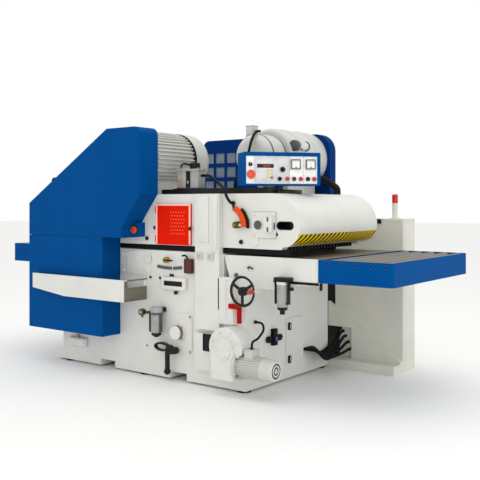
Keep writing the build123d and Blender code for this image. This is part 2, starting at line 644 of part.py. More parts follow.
# Electrical cabinet with its pole, door on the far side, beacon and wedge bracket
CABINET_LEFT = 654
CABINET_RIGHT = 1199
CABINET_NEAR = 580
CABINET_FAR = 783.6
CABINET_TOP = 1088
CABINET_SHEET = 4
CABINET_DOOR = 16
CABINET_LIP = 24
CABINET_DOOR_INSET = 6
CABINET_DOOR_TOP_INSET = 10
CABINET_DOOR_EDGE = 5
LATCH_LEFT = 34             # latch recess from the cabinet's left
LATCH_WIDTH = 28
LATCH_DEPTH = 12
LATCH_BOTTOM = 500
LATCH_HEIGHT = 120
LATCH_BAR_INSET = 8
LATCH_BAR_END_INSET = 20
LATCH_BAR_STEP = 2
POLE_X = 1112
POLE_Y = 640
POLE_RADIUS = 20
POLE_LENGTH = 112
LENS_RADIUS = 23
LENS_HEIGHT = 66
LENS_EDGE = 10
with BuildPart() as electrical_cabinet:
    cabinet_x = (CABINET_LEFT, CABINET_RIGHT)
    block(cabinet_x, (CABINET_NEAR, CABINET_FAR), (0, CABINET_TOP))
    inside_x = (CABINET_LEFT + CABINET_SHEET, CABINET_RIGHT - CABINET_SHEET)
    inside_y = (CABINET_NEAR + CABINET_SHEET, CABINET_FAR - CABINET_SHEET)
    inside_z = (CABINET_SHEET, CABINET_TOP - CABINET_SHEET)
    block(inside_x, inside_y, inside_z, mode=Mode.SUBTRACT)
    mouth_x = (CABINET_LEFT + CABINET_LIP, CABINET_RIGHT - CABINET_LIP)
    mouth_z = (CABINET_LIP * 2, CABINET_TOP - CABINET_LIP)
    block(mouth_x, (inside_y[1], CABINET_FAR), mouth_z, mode=Mode.SUBTRACT)
    rod_z(POLE_X, POLE_Y, POLE_RADIUS, (CABINET_TOP - CABINET_SHEET, CABINET_TOP + POLE_LENGTH))
save(electrical_cabinet.part, "electrical_cabinet")

door_y = (CABINET_FAR + RUN, CABINET_FAR + RUN + CABINET_DOOR)
with BuildPart() as cabinet_door:
    door_x = (CABINET_LEFT + CABINET_DOOR_INSET, CABINET_RIGHT - CABINET_DOOR_INSET)
    block(door_x, door_y, (CABINET_LIP, CABINET_TOP - CABINET_DOOR_TOP_INSET))
    fillet(cabinet_door.edges().filter_by(Axis.Z).group_by(Axis.Y)[-1], CABINET_DOOR_EDGE)
    latch_x = (CABINET_LEFT + LATCH_LEFT, CABINET_LEFT + LATCH_LEFT + LATCH_WIDTH)
    latch_y = (door_y[1] - LATCH_DEPTH, door_y[1])
    latch_z = (LATCH_BOTTOM, LATCH_BOTTOM + LATCH_HEIGHT)
    block(latch_x, latch_y, latch_z, mode=Mode.SUBTRACT)
    bar_x = (latch_x[0] + LATCH_BAR_INSET, latch_x[1] - LATCH_BAR_INSET)
    bar_z = (latch_z[0] + LATCH_BAR_END_INSET, latch_z[1] - LATCH_BAR_END_INSET)
    block(bar_x, (latch_y[0], latch_y[1] - LATCH_BAR_STEP), bar_z)
save(cabinet_door.part, "cabinet_door")

lens_z = (CABINET_TOP + POLE_LENGTH, CABINET_TOP + POLE_LENGTH + LENS_HEIGHT)
with BuildPart() as beacon_lens:
    rod_z(POLE_X, POLE_Y, LENS_RADIUS, lens_z)
    fillet(beacon_lens.edges().group_by(Axis.Z)[-1], LENS_EDGE)
save(beacon_lens.part, "beacon_lens")

# Sole and wedge bracket from the base to the cabinet, hollow, with a port for the conduits
CONDUIT_RADIUS = 10
CONDUIT_END_HEIGHTS = (124, 172, 214, 248, 266)
CONDUIT_START_Y = 112
CONDUIT_START_Z = 178
CONDUIT_DROOP_Z = 102
CONDUIT_DROOP_STEP = 5
CONDUIT_DROOP_RUN = 80
CONDUIT_RISE_Y = 440
CONDUIT_RISE_SHARE = 0.4
CONDUIT_STRAIGHT = 39       # straight run into the cabinet
CONDUIT_PITCH = 22
CONDUIT_OUT = 8
PORT_ROOM = 8
WEDGE_LEFT = 613
WEDGE_NEAR = 545
WEDGE_TOP = 466
WEDGE_TIP = 77
WEDGE_SHEET = 6
WEDGE_RIM = 40
WEDGE_END = 120
SOLE_HEIGHT = 62
widest_run = BASE_RIGHT + CONDUIT_OUT + CONDUIT_PITCH * len(CONDUIT_END_HEIGHTS)
with BuildPart() as cabinet_bracket:
    sole_x = (WEDGE_LEFT, CABINET_RIGHT)
    block(sole_x, (FAR, CABINET_NEAR), (0, SOLE_HEIGHT))
    wedge = (
        (WEDGE_LEFT, SOLE_HEIGHT),
        (CABINET_RIGHT, SOLE_HEIGHT),
        (CABINET_RIGHT, WEDGE_TIP),
        (WEDGE_LEFT, WEDGE_TOP),
    )
    side_prism(wedge, (WEDGE_NEAR, CABINET_NEAR))
    slope = (WEDGE_TOP - WEDGE_TIP) / (CABINET_RIGHT - WEDGE_LEFT)
    hollow = (
        (WEDGE_LEFT + WEDGE_SHEET, SOLE_HEIGHT),
        (CABINET_RIGHT - WEDGE_END, SOLE_HEIGHT),
        (CABINET_RIGHT - WEDGE_END, WEDGE_TIP + WEDGE_END * slope - WEDGE_RIM),
        (WEDGE_LEFT + WEDGE_SHEET, WEDGE_TOP - WEDGE_SHEET * slope - WEDGE_RIM),
    )
    side_prism(hollow, (WEDGE_NEAR + WEDGE_SHEET, CABINET_NEAR), mode=Mode.SUBTRACT)
    under_x = (sole_x[0] + WEDGE_SHEET, sole_x[1] - WEDGE_SHEET)
    under_y = (FAR + WEDGE_SHEET, CABINET_NEAR - WEDGE_SHEET)
    block(under_x, under_y, (0, SOLE_HEIGHT - WEDGE_SHEET), mode=Mode.SUBTRACT)
    port_x = (WEDGE_LEFT, widest_run + CONDUIT_RADIUS + PORT_ROOM)
    port_z = (SOLE_HEIGHT, CONDUIT_END_HEIGHTS[-1] + CONDUIT_RADIUS + PORT_ROOM)
    block(port_x, (WEDGE_NEAR, CABINET_NEAR), port_z, mode=Mode.SUBTRACT)
save(cabinet_bracket.part, "cabinet_bracket")

# Conduits from the base's end to the cabinet, the feed motor's lead and an air valve
LEAD_RADIUS = 7
LEAD_START = (-480, 442)    # y, z where the lead leaves the wall
LEAD_OUT = 60
LEAD_FAR_OUT = 118
LEAD_BEND_HEIGHT = 52       # above the motor's terminal box
BEND_SHARE = 0.45           # share of the shorter run taken by each bend
VALVE_DEPTHS = (20, 26)     # body, stem
VALVE_BODY_Y = (-352, -196)
VALVE_BODY_Z = (290, 328)
VALVE_STEM_Y = (-300, -256)
VALVE_STEM_Z = (266, 374)


def tube(points, radius):
    """Add a round tube along straight runs joined by arcs as large as the runs allow."""
    corners = [Vector(*point) for point in points]
    bends = []
    for before, corner, after in zip(corners, corners[1:], corners[2:]):
        run_in = corner - before
        run_out = after - corner
        half_turn = radians(run_in.get_angle(run_out)) / 2
        bends.append(BEND_SHARE * min(run_in.length, run_out.length) / tan(half_turn))
    with BuildLine() as route:
        FilletPolyline(*corners, radius=bends)
    start = Plane(origin=route.line @ 0, z_dir=route.line % 0)
    with BuildSketch(start) as section:
        Circle(radius)
    sweep(section.sketch, path=route.line)


with BuildPart() as conduits:
    for number, end_z in enumerate(CONDUIT_END_HEIGHTS):
        start_y = CONDUIT_START_Y + CONDUIT_PITCH * number
        run_x = widest_run - CONDUIT_PITCH * number
        droop_z = CONDUIT_DROOP_Z + CONDUIT_DROOP_STEP * number
        rise_z = CONDUIT_DROOP_Z + (end_z - CONDUIT_DROOP_Z) * CONDUIT_RISE_SHARE
        conduit_points = (
            (BASE_RIGHT, start_y, CONDUIT_START_Z),
            (run_x, start_y, CONDUIT_START_Z),
            (run_x, start_y + CONDUIT_DROOP_RUN, droop_z),
            (run_x, CONDUIT_RISE_Y, rise_z),
            (run_x, CABINET_NEAR - CONDUIT_STRAIGHT, end_z),
            (run_x, CABINET_NEAR, end_z),
        )
        tube(conduit_points, CONDUIT_RADIUS)
    lead_end = (sum(terminal_x) / 2, FEED_MOTOR_Y, terminal_z[1])
    lead_points = (
        (BASE_RIGHT, *LEAD_START),
        (BASE_RIGHT + LEAD_OUT, *LEAD_START),
        (BASE_RIGHT + LEAD_FAR_OUT, LEAD_START[0] - 60, LEAD_START[1] - 32),
        (BASE_RIGHT + LEAD_FAR_OUT, LEAD_START[0] - 132, LEAD_START[1] - 78),
        (lead_end[0], FEED_MOTOR_Y, lead_end[2] + LEAD_BEND_HEIGHT),
        lead_end,
    )
    tube(lead_points, LEAD_RADIUS)
    block((BASE_RIGHT, BASE_RIGHT + VALVE_DEPTHS[0]), VALVE_BODY_Y, VALVE_BODY_Z)
    block((BASE_RIGHT, BASE_RIGHT + VALVE_DEPTHS[1]), VALVE_STEM_Y, VALVE_STEM_Z)
save(conduits.part, "conduits")

# Infeed bed: casting open below, with a boss for the handwheel shaft
bed_y = (NEAR + RUN, FAR)
wheel_z = BED_ROOT_BOTTOM - WHEEL_DROP
with BuildPart() as infeed_bed:
    bed_profile = (
        (BED_LEFT, BED_TOP),
        (BED_FOOT_LEFT, BED_ROOT_BOTTOM),
        (BED_TAPER_X, BED_ROOT_BOTTOM),
        (BED_END, BED_TIP_BOTTOM),
        (BED_END, BED_TOP),
    )
    side_prism(bed_profile, bed_y)
    under_bed = (
        (BED_FOOT_LEFT + BED_WALL, BED_TOP - BED_PLATE),
        (BED_FOOT_LEFT + BED_WALL, BED_ROOT_BOTTOM),
        (BED_TAPER_X, BED_ROOT_BOTTOM),
        (BED_END - BED_WALL, BED_TIP_BOTTOM - BED_MOUTH_DROP),
        (BED_END - BED_WALL, BED_TOP - BED_PLATE),
    )
    side_prism(under_bed, (bed_y[0] + BED_WALL, bed_y[1] - BED_WALL), mode=Mode.SUBTRACT)
    boss_y = (bed_y[0], bed_y[0] + BED_WALL)
    block((WHEEL_X - WHEEL_BOSS, WHEEL_X + WHEEL_BOSS), boss_y, (wheel_z - WHEEL_BOSS, BED_ROOT_BOTTOM))
    rod_y(WHEEL_X, wheel_z, WHEEL_SHAFT_RADIUS + RUN, boss_y, mode=Mode.SUBTRACT)
save(infeed_bed.part, "infeed_bed")

# Infeed table: frame with a floor and side cheeks that carry the rollers
roller_span = TABLE_END - ROLLER_LAST - BED_END - ROLLER_START
roller_count = int(roller_span // ROLLER_PITCH) + 1
roller_x = [BED_END + ROLLER_START + ROLLER_PITCH * i for i in range(roller_count)]
roller_z = BED_TOP - ROLLER_RADIUS
table_inside_y = (TABLE_NEAR + TABLE_WALL, TABLE_FAR - TABLE_WALL)
with BuildPart() as infeed_table:
    table_x = (BED_END, TABLE_END)
    block(table_x, (TABLE_NEAR, TABLE_FAR), (table_bottom, BED_TOP))
    chamfer(infeed_table.edges().filter_by(Axis.Z).group_by(Axis.X)[-1], TABLE_CORNER)
    trough_x = (BED_END + TABLE_SHEET, TABLE_END - TABLE_SHEET)
    block(trough_x, table_inside_y, (table_bottom + TABLE_SHEET, BED_TOP), mode=Mode.SUBTRACT)
    for x in roller_x:
        rod_y(x, roller_z, AXLE_RADIUS + RUN, (TABLE_NEAR, TABLE_FAR), mode=Mode.SUBTRACT)
save(infeed_table.part, "infeed_table")

for number, x in enumerate(roller_x, start=1):
    with BuildPart() as table_roller:
        barrel_y = (table_inside_y[0] + ROLLER_END_GAP, table_inside_y[1] - ROLLER_END_GAP)
        rod_y(x, roller_z, ROLLER_RADIUS, barrel_y)
        rod_y(x, roller_z, AXLE_RADIUS, (TABLE_NEAR, TABLE_FAR))
    save(table_roller.part, f"table_roller_{number}")

BED_FILTER_X = 978
BRACKET_THICKNESS = 26
BRACKET_HALF_WIDTH = 50
BRACKET_REACH = 70
BED_BOWL_REACH = 44
BED_BOWL = 170
BED_DRAIN = 26
with BuildPart() as bed_air_filter:
    bracket_x = (BED_FILTER_X - BRACKET_HALF_WIDTH, BED_FILTER_X + BRACKET_HALF_WIDTH)
    bracket_z = (BED_TIP_BOTTOM, BED_TIP_BOTTOM + BRACKET_THICKNESS)
    block(bracket_x, (bed_y[0] - BRACKET_REACH, bed_y[0]), bracket_z)
    bowl_y = bed_y[0] - BED_BOWL_REACH
    bowl_z = (bracket_z[0] - BED_BOWL, bracket_z[0])
    rod_z(BED_FILTER_X, bowl_y, FILTER_BOWL_RADIUS, bowl_z)
    rod_z(BED_FILTER_X, bowl_y, DRAIN_RADIUS, (bowl_z[0] - BED_DRAIN, bowl_z[0]))
save(bed_air_filter.part, "bed_air_filter")

# Handwheel: rim, three spokes, hub, grip and shaft
SPOKE_WIDTH = 18
SPOKE_DEPTH = 12
SPOKE_START = 30            # degrees
HUB_RADIUS = 20
HUB_FRONT = 6
HUB_BACK = 34
RIM_EDGE = 7.2
GRIP_RADIUS = 13
GRIP_LENGTH = 52
GRIP_ANGLE = radians(3)
with BuildPart() as handwheel:
    with BuildSketch(Plane.XZ.offset(-WHEEL_FACE)) as rim:
        with Locations((WHEEL_X, wheel_z)):
            Circle(WHEEL_RADIUS)
            Circle(WHEEL_RADIUS - 2 * RIM_RADIUS, mode=Mode.SUBTRACT)
    extrude(rim.sketch, amount=-2 * RIM_RADIUS)
    fillet(handwheel.edges(), RIM_EDGE)
    with BuildSketch(Plane.XZ.offset(-WHEEL_FACE)) as spokes:
        with Locations((WHEEL_X, wheel_z)):
            with PolarLocations(0, 3, start_angle=SPOKE_START):
                spoke_length = WHEEL_RADIUS - RIM_RADIUS
                Rectangle(spoke_length, SPOKE_WIDTH, align=(Align.MIN, Align.CENTER))
    extrude(spokes.sketch, amount=-SPOKE_DEPTH)
    rod_y(WHEEL_X, wheel_z, HUB_RADIUS, (WHEEL_FACE - HUB_FRONT, WHEEL_FACE + HUB_BACK))
    rod_y(WHEEL_X, wheel_z, WHEEL_SHAFT_RADIUS, (WHEEL_FACE, boss_y[1]))
    grip_x = WHEEL_X + spoke_length * cos(GRIP_ANGLE)
    grip_z = wheel_z + spoke_length * sin(GRIP_ANGLE)
    rod_y(grip_x, grip_z, GRIP_RADIUS, (WHEEL_FACE - GRIP_LENGTH, WHEEL_FACE + RIM_RADIUS))
save(handwheel.part, "handwheel")

# Head side plates: outline with the hood's curve, an upper column, bores and openings
GRIP_SLOT = (911, 1027, 1064)       # left, right, middle height
GRIP_SLOT_HEIGHT = 46
BEARING_PLATE = (728, 902, 986, 1146)
BEARING_PLATE_SHEET = 8
DISC_PLACE = (777, 1066)
DISC_RADIUS = 30
DISC_HEIGHT = 9
LATCH_PLATE = (829, 889, 1026, 1116)
LATCH_PLATE_HEIGHT = 22
feed_roller_z = HEAD_BOTTOM + FEED_ROLLER_RADIUS - CUT_PROJECTION
upper_column_bottom = COLUMN_TOP + RUN


def hood_line(inset):
    """Draw the hood's outline from the flat top round to the lip, inset by a sheet."""
    top = HEAD_TOP - inset
    big = HOOD_RADIUS - inset
    small = LIP_RADIUS - inset
    lip_x = HOOD_CENTRE_X + HOOD_RADIUS - LIP_RADIUS
    Line((HOOD_FLAT_START, top), (HOOD_CENTRE_X, top))
    CenterArc((HOOD_CENTRE_X, HOOD_CENTRE_Z), big, 90, -90)
    CenterArc((lip_x, HOOD_CENTRE_Z), small, 0, -90)
    return lip_x, HOOD_CENTRE_Z - small


def head_side(y, column_y, bore_y):
    """Add one side plate of the head with its upper column and shaft bores."""
    with BuildSketch(Plane.XZ.offset(-y[0])) as outline:
        with BuildLine():
            lip = hood_line(HOOD_SHEET)
            Polyline(
                lip,
                (lip[0] - LIP_RETURN, HEAD_BOTTOM),
                (HEAD_LEFT, HEAD_BOTTOM),
                (HEAD_LEFT, HEAD_TOP),
                (HOOD_FLAT_START, HEAD_TOP),
                (HOOD_FLAT_START, HEAD_TOP - HOOD_SHEET),
            )
        make_face()
    extrude(outline.sketch, amount=y[0] - y[1])
    block(column_x, column_y, (upper_column_bottom, HEAD_TOP))
    screw_hole = (upper_column_bottom, SCREW_TOP + RUN)
    rod_z(screw_x, bore_y, SCREW_RADIUS + RUN, screw_hole, mode=Mode.SUBTRACT)
    rod_y(UPPER_CUT_X, upper_cut_z, SPINDLE_RADIUS + RUN, y, mode=Mode.SUBTRACT)
    rod_y(FEED_ROLLER_X, feed_roller_z, FEED_SHAFT_RADIUS + RUN, y, mode=Mode.SUBTRACT)
    rod_y(FINGER_X, FINGER_Z, FINGER_SHAFT_RADIUS + RUN, y, mode=Mode.SUBTRACT)


near_plate_y = (NEAR, NEAR + SIDE_PLATE)
far_plate_y = (FAR - SIDE_PLATE, FAR)
plate_face = NEAR - BEARING_PLATE_SHEET
with BuildPart() as head_side_near:
    head_side(near_plate_y, near_column_y, screw_y[0])
    plate_x = (BEARING_PLATE[0], BEARING_PLATE[1])
    block(plate_x, (plate_face, NEAR), (BEARING_PLATE[2], BEARING_PLATE[3]))
    rod_y(*DISC_PLACE, DISC_RADIUS, (plate_face - DISC_HEIGHT, NEAR))
    latch_face = plate_face - LATCH_PLATE_HEIGHT
    block(LATCH_PLATE[:2], (latch_face, NEAR), LATCH_PLATE[2:])
    window_x = (DOOR_LEFT + DOOR_RIM, DOOR_RIGHT - DOOR_RIM)
    window_z = (DOOR_BOTTOM + DOOR_RIM, DOOR_TOP - DOOR_RIM)
    block(window_x, near_plate_y, window_z, mode=Mode.SUBTRACT)
    with BuildSketch(Plane.XZ.offset(-NEAR)) as grip_slot:
        with Locations(((GRIP_SLOT[0] + GRIP_SLOT[1]) / 2, GRIP_SLOT[2])):
            SlotOverall(GRIP_SLOT[1] - GRIP_SLOT[0], GRIP_SLOT_HEIGHT)
    extrude(grip_slot.sketch, amount=-SIDE_PLATE, mode=Mode.SUBTRACT)
save(head_side_near.part, "head_side_near")

with BuildPart() as head_side_far:
    head_side(far_plate_y, far_column_y, screw_y[1])
save(head_side_far.part, "head_side_far")

with BuildPart() as head_top:
    block((HEAD_LEFT, HOOD_FLAT_START), inner_y, (HEAD_TOP - TOP_PLATE, HEAD_TOP))
save(head_top.part, "head_top")

# Infeed hood: rolled sheet over the side plates' curve
with BuildPart() as infeed_hood:
    with BuildSketch(Plane.XZ.offset(-NEAR)) as hood_section:
        with BuildLine():
            outer_lip = hood_line(0)
            inner_lip = hood_line(HOOD_SHEET)
            Line(outer_lip, inner_lip)
            Line((HOOD_FLAT_START, HEAD_TOP), (HOOD_FLAT_START, HEAD_TOP - HOOD_SHEET))
        make_face()
    extrude(hood_section.sketch, amount=NEAR - FAR)
save(infeed_hood.part, "infeed_hood")

# Upper cutterhead and its belts
with BuildPart() as upper_cutterhead:
    cutterhead(UPPER_CUT_X, upper_cut_z)
save(upper_cutterhead.part, "upper_cutterhead")


def motor_feet(x, z, y):
    """Add the two feet and the saddle under a motor standing on the head."""
    half = MOTOR_FOOT_WIDTH / 2
    for side in (-1, 1):
        foot_x = sorted((x + side * half, x + side * (half - MOTOR_FOOT_INSET)))
        block(foot_x, y, (HEAD_TOP, z))


def finned_body(x, z, radius, y):
    """Add a motor barrel with cooling fins along its length."""
    with BuildSketch(Plane.XZ.offset(-y[0])) as section:
        with Locations((x, z)):
            Circle(radius - FIN_DEPTH)
            with PolarLocations(0, FIN_COUNT):
                Rectangle(radius, FIN_WIDTH, align=(Align.MIN, Align.CENTER))
    extrude(section.sketch, amount=y[0] - y[1])


upper_body_y = (UPPER_MOTOR_NEAR, UPPER_MOTOR_NEAR + UPPER_MOTOR_LENGTH)
upper_fan_y = (upper_body_y[1], upper_body_y[1] + FAN_COVER_LENGTH)
SHAFT_SEAT = 60
with BuildPart() as upper_motor:
    rod_y(UPPER_MOTOR_X, UPPER_MOTOR_Z, UPPER_MOTOR_RADIUS, upper_fan_y)
    fillet(upper_motor.edges().filter_by(GeomType.CIRCLE).sort_by(Axis.Y)[-1], FAN_COVER_EDGE)
    finned_body(UPPER_MOTOR_X, UPPER_MOTOR_Z, UPPER_MOTOR_RADIUS, upper_body_y)
    feet_y = (upper_body_y[0] + MOTOR_FOOT_INSET, upper_body_y[1] - MOTOR_FOOT_INSET)
    motor_feet(UPPER_MOTOR_X, UPPER_MOTOR_Z, feet_y)
    seat_y = (upper_body_y[0], upper_body_y[0] + SHAFT_SEAT)
    rod_y(UPPER_MOTOR_X, UPPER_MOTOR_Z, MOTOR_SHAFT_RADIUS + RUN, seat_y, mode=Mode.SUBTRACT)
save(upper_motor.part, "upper_motor")

with BuildPart() as upper_rotor:
    shaft_y = (PULLEY_NEAR - END_GAP, seat_y[1] - RUN)
    rod_y(UPPER_MOTOR_X, UPPER_MOTOR_Z, MOTOR_SHAFT_RADIUS, shaft_y)
    rod_y(UPPER_MOTOR_X, UPPER_MOTOR_Z, MOTOR_PULLEY_RADIUS, pulley_y)
save(upper_rotor.part, "upper_rotor")

belt_y = (pulley_y[0] + BELT_SIDE_ROOM, pulley_y[1] - BELT_SIDE_ROOM)
with BuildPart() as upper_belts:
    for grow, mode in ((RUN + BELT_THICKNESS, Mode.ADD), (RUN, Mode.SUBTRACT)):
        with BuildSketch(Plane.XZ.offset(-belt_y[0])) as loop:
            with Locations((UPPER_MOTOR_X, UPPER_MOTOR_Z)):
                Circle(MOTOR_PULLEY_RADIUS + grow)
            with Locations((UPPER_CUT_X, upper_cut_z)):
                Circle(CUT_PULLEY_RADIUS + grow)
            make_hull()
        extrude(loop.sketch, amount=belt_y[0] - belt_y[1], mode=mode)
save(upper_belts.part, "upper_belts")

# Upper belt guard: sheet shell with the long slope, open below, with a box for the stop button
STOP_BOX = (-262, -205, 968, 1066)
STOP_BOX_FRONT = -645
with BuildPart() as upper_belt_guard:
    guard_outline = (
        (GUARD_LEFT, GUARD_SEAM),
        (GUARD_LEFT, GUARD_SHOULDER),
        (SLOPE_END_X, GUARD_TOP),
        (UPPER_GUARD_RIGHT, GUARD_TOP),
        (UPPER_GUARD_RIGHT, CHIN_TOP),
        (NECK_X, NECK_TOP),
        (NECK_X, GUARD_SEAM),
    )
    with BuildSketch(Plane.XZ.offset(-GUARD_FRONT)) as guard_face:
        with BuildLine():
            Polyline(*guard_outline, close=True)
        make_face()
        fillet(guard_face.vertices().group_by(Axis.Y)[-1].sort_by(Axis.X)[-1], GUARD_CORNER)
    extrude(guard_face.sketch, amount=GUARD_FRONT - NEAR)
    with BuildSketch(Plane.XZ.offset(-GUARD_FRONT - GUARD_SHEET)) as guard_inside:
        add(guard_face.sketch.moved(Location((0, GUARD_SHEET, 0))))
        offset(amount=-GUARD_SHEET)
    inside_depth = NEAR - GUARD_FRONT - 2 * GUARD_SHEET
    extrude(guard_inside.sketch, amount=-inside_depth, mode=Mode.SUBTRACT)
    mouth_x = (GUARD_LEFT + GUARD_SHEET, NECK_X - GUARD_SHEET)
    mouth_y = (GUARD_FRONT + GUARD_SHEET, NEAR - GUARD_SHEET)
    block(mouth_x, mouth_y, (GUARD_SEAM, GUARD_SEAM + 2 * GUARD_SHEET), mode=Mode.SUBTRACT)
    back_y = (NEAR - GUARD_SHEET, NEAR)
    motor_hole = MOTOR_SHAFT_RADIUS + GUARD_HOLE
    rod_y(UPPER_MOTOR_X, UPPER_MOTOR_Z, motor_hole, back_y, mode=Mode.SUBTRACT)
    rod_y(UPPER_CUT_X, upper_cut_z, spindle_hole, back_y, mode=Mode.SUBTRACT)
    stop_box_x = (STOP_BOX[0], STOP_BOX[1])
    block(stop_box_x, (STOP_BOX_FRONT, NEAR), (STOP_BOX[2], STOP_BOX[3]))
    guard_stop_x = sum(stop_box_x) / 2
    guard_stop_z = (STOP_BOX[2] + STOP_BOX[3]) / 2
    bore_y = (STOP_BOX_FRONT, STOP_BOX_FRONT + BORE_DEPTH)
    rod_y(guard_stop_x, guard_stop_z, STEM_RADIUS + RUN, bore_y, mode=Mode.SUBTRACT)
save(upper_belt_guard.part, "upper_belt_guard")

# Stop button on the guard's box: mushroom cap on a stem
cap_back = STOP_BOX_FRONT - BUTTON_TRAVEL - RUN
with BuildPart() as guard_stop_button:
    rod_y(guard_stop_x, guard_stop_z, MUSHROOM_RADIUS, (cap_back - MUSHROOM_HEIGHT, cap_back))
    fillet(guard_stop_button.edges().group_by(Axis.Y)[0], MUSHROOM_EDGE)
    stem_y = (cap_back, cap_back + STEM_LENGTH)
    rod_y(guard_stop_x, guard_stop_z, STEM_RADIUS, stem_y)
save(guard_stop_button.part, "guard_stop_button")

# Red door: folded sheet over the window in the near plate, hinged on its left
door_face = NEAR - DOOR_STAND_OFF - DOOR_SHEET
with BuildPart() as red_door:
    door_y = (door_face, NEAR - RUN)
    block((DOOR_LEFT, DOOR_RIGHT), door_y, (DOOR_BOTTOM, DOOR_TOP))
    pan_x = (DOOR_LEFT + DOOR_SHEET, DOOR_RIGHT - DOOR_SHEET)
    pan_z = (DOOR_BOTTOM + DOOR_SHEET, DOOR_TOP - DOOR_SHEET)
    block(pan_x, (door_face + DOOR_SHEET, NEAR), pan_z, mode=Mode.SUBTRACT)
    for z in (DOOR_BOTTOM + HINGE_INSET, DOOR_TOP - HINGE_INSET):
        rod_z(DOOR_LEFT, door_face, HINGE_RADIUS, (z - HINGE_HALF_LENGTH, z + HINGE_HALF_LENGTH))
save(red_door.part, "red_door")

# Rear motor: smooth barrel with a smaller fan end towards the operator and a terminal box
rear_face_y = FAR - REAR_GUARD_SEAT
rear_body_y = (REAR_MOTOR_NEAR + REAR_FAN_LENGTH, rear_face_y)
TERMINAL_LEFT = REAR_MOTOR_X - REAR_MOTOR_RADIUS / 2
TERMINAL_WIDTH = 60
TERMINAL_INSET = 82         # from the fan end
TERMINAL_LENGTH = 60
TERMINAL_RISE = 9           # above the barrel
with BuildPart() as rear_motor:
    rod_y(REAR_MOTOR_X, REAR_MOTOR_Z, REAR_MOTOR_RADIUS, rear_body_y)
    fillet(rear_motor.edges().filter_by(GeomType.CIRCLE).sort_by(Axis.Y)[0], REAR_BODY_EDGE)
    fan_y = (REAR_MOTOR_NEAR, rear_body_y[0] + REAR_FAN_LAP)
    rod_y(REAR_MOTOR_X, REAR_MOTOR_Z, REAR_FAN_RADIUS, fan_y)
    fillet(rear_motor.edges().filter_by(GeomType.CIRCLE).sort_by(Axis.Y)[0], REAR_FAN_EDGE)
    feet_y = (rear_body_y[0] + MOTOR_FOOT_INSET, rear_body_y[1] - MOTOR_FOOT_INSET)
    motor_feet(REAR_MOTOR_X, REAR_MOTOR_Z, feet_y)
    rear_box_near = REAR_MOTOR_NEAR + TERMINAL_INSET
    rear_box_y = (rear_box_near, rear_box_near + TERMINAL_LENGTH)
    rear_box_top = REAR_MOTOR_Z + REAR_MOTOR_RADIUS + TERMINAL_RISE
    rear_box_x = (TERMINAL_LEFT, TERMINAL_LEFT + TERMINAL_WIDTH)
    block(rear_box_x, rear_box_y, (REAR_MOTOR_Z, rear_box_top))
save(rear_motor.part, "rear_motor")

# Rear guard: sheet shell standing on the far side plate, open below, with a grid of windows
with BuildPart() as rear_guard:
    rear_y = (rear_face_y, rear_face_y + REAR_GUARD_DEPTH)
    for inset, mode in ((0, Mode.ADD), (GUARD_SHEET, Mode.SUBTRACT)):
        with BuildSketch(Plane.XZ.offset(-rear_y[0] - inset)) as rear_outline:
            with BuildLine():
                Polyline(
                    (REAR_GUARD_LEFT + inset, HEAD_TOP),
                    (REAR_GUARD_RIGHT - inset, HEAD_TOP),
                    (REAR_GUARD_RIGHT - inset, REAR_GUARD_TOP - inset),
                    (REAR_GUARD_LEFT + inset, REAR_GUARD_TOP - inset),
                    close=True,
                )
            make_face()
            for side, radius in zip((0, -1), REAR_CORNER):
                top_corners = rear_outline.vertices().group_by(Axis.Y)[-1].sort_by(Axis.X)
                fillet(top_corners[side], radius - inset)
        extrude(rear_outline.sketch, amount=-(REAR_GUARD_DEPTH - 2 * inset), mode=mode)
    for column in range(REAR_WINDOW_GRID[0]):
        for row in range(REAR_WINDOW_GRID[1]):
            left = REAR_WINDOW_START[0] + column * REAR_WINDOW_PITCH[0]
            bottom = REAR_WINDOW_START[1] + row * REAR_WINDOW_PITCH[1]
            window_x = (left, left + REAR_WINDOW[0])
            window_z = (bottom, bottom + REAR_WINDOW[1])
            block(window_x, (rear_y[0], rear_y[0] + GUARD_SHEET), window_z, mode=Mode.SUBTRACT)
save(rear_guard.part, "rear_guard")

# Infeed roller and kickback fingers under the hood
with BuildPart() as infeed_roller:
    rod_y(FEED_ROLLER_X, feed_roller_z, FEED_ROLLER_RADIUS, knife_y)
    rod_y(FEED_ROLLER_X, feed_roller_z, FEED_SHAFT_RADIUS, (NEAR, FAR))
save(infeed_roller.part, "infeed_roller")

with BuildPart() as kickback_fingers:
    rod_y(FINGER_X, FINGER_Z, FINGER_SHAFT_RADIUS, (NEAR, FAR))
    finger_count = int((knife_y[1] - knife_y[0]) // FINGER_PITCH)
    finger_outline = (
        (FINGER_X - FINGER_ROOT, FINGER_Z + FINGER_ROOT),
        (FINGER_X + FINGER_ROOT, FINGER_Z + FINGER_ROOT),
        (FINGER_X + FINGER_TIP[1], FINGER_Z - FINGER_DROP),
        (FINGER_X + FINGER_TIP[0], FINGER_Z - FINGER_DROP),
    )
    for number in range(finger_count):
        finger_near = knife_y[0] + FINGER_PITCH * (number + 0.5) - FINGER_THICKNESS / 2
        side_prism(finger_outline, (finger_near, finger_near + FINGER_THICKNESS))
save(kickback_fingers.part, "kickback_fingers")

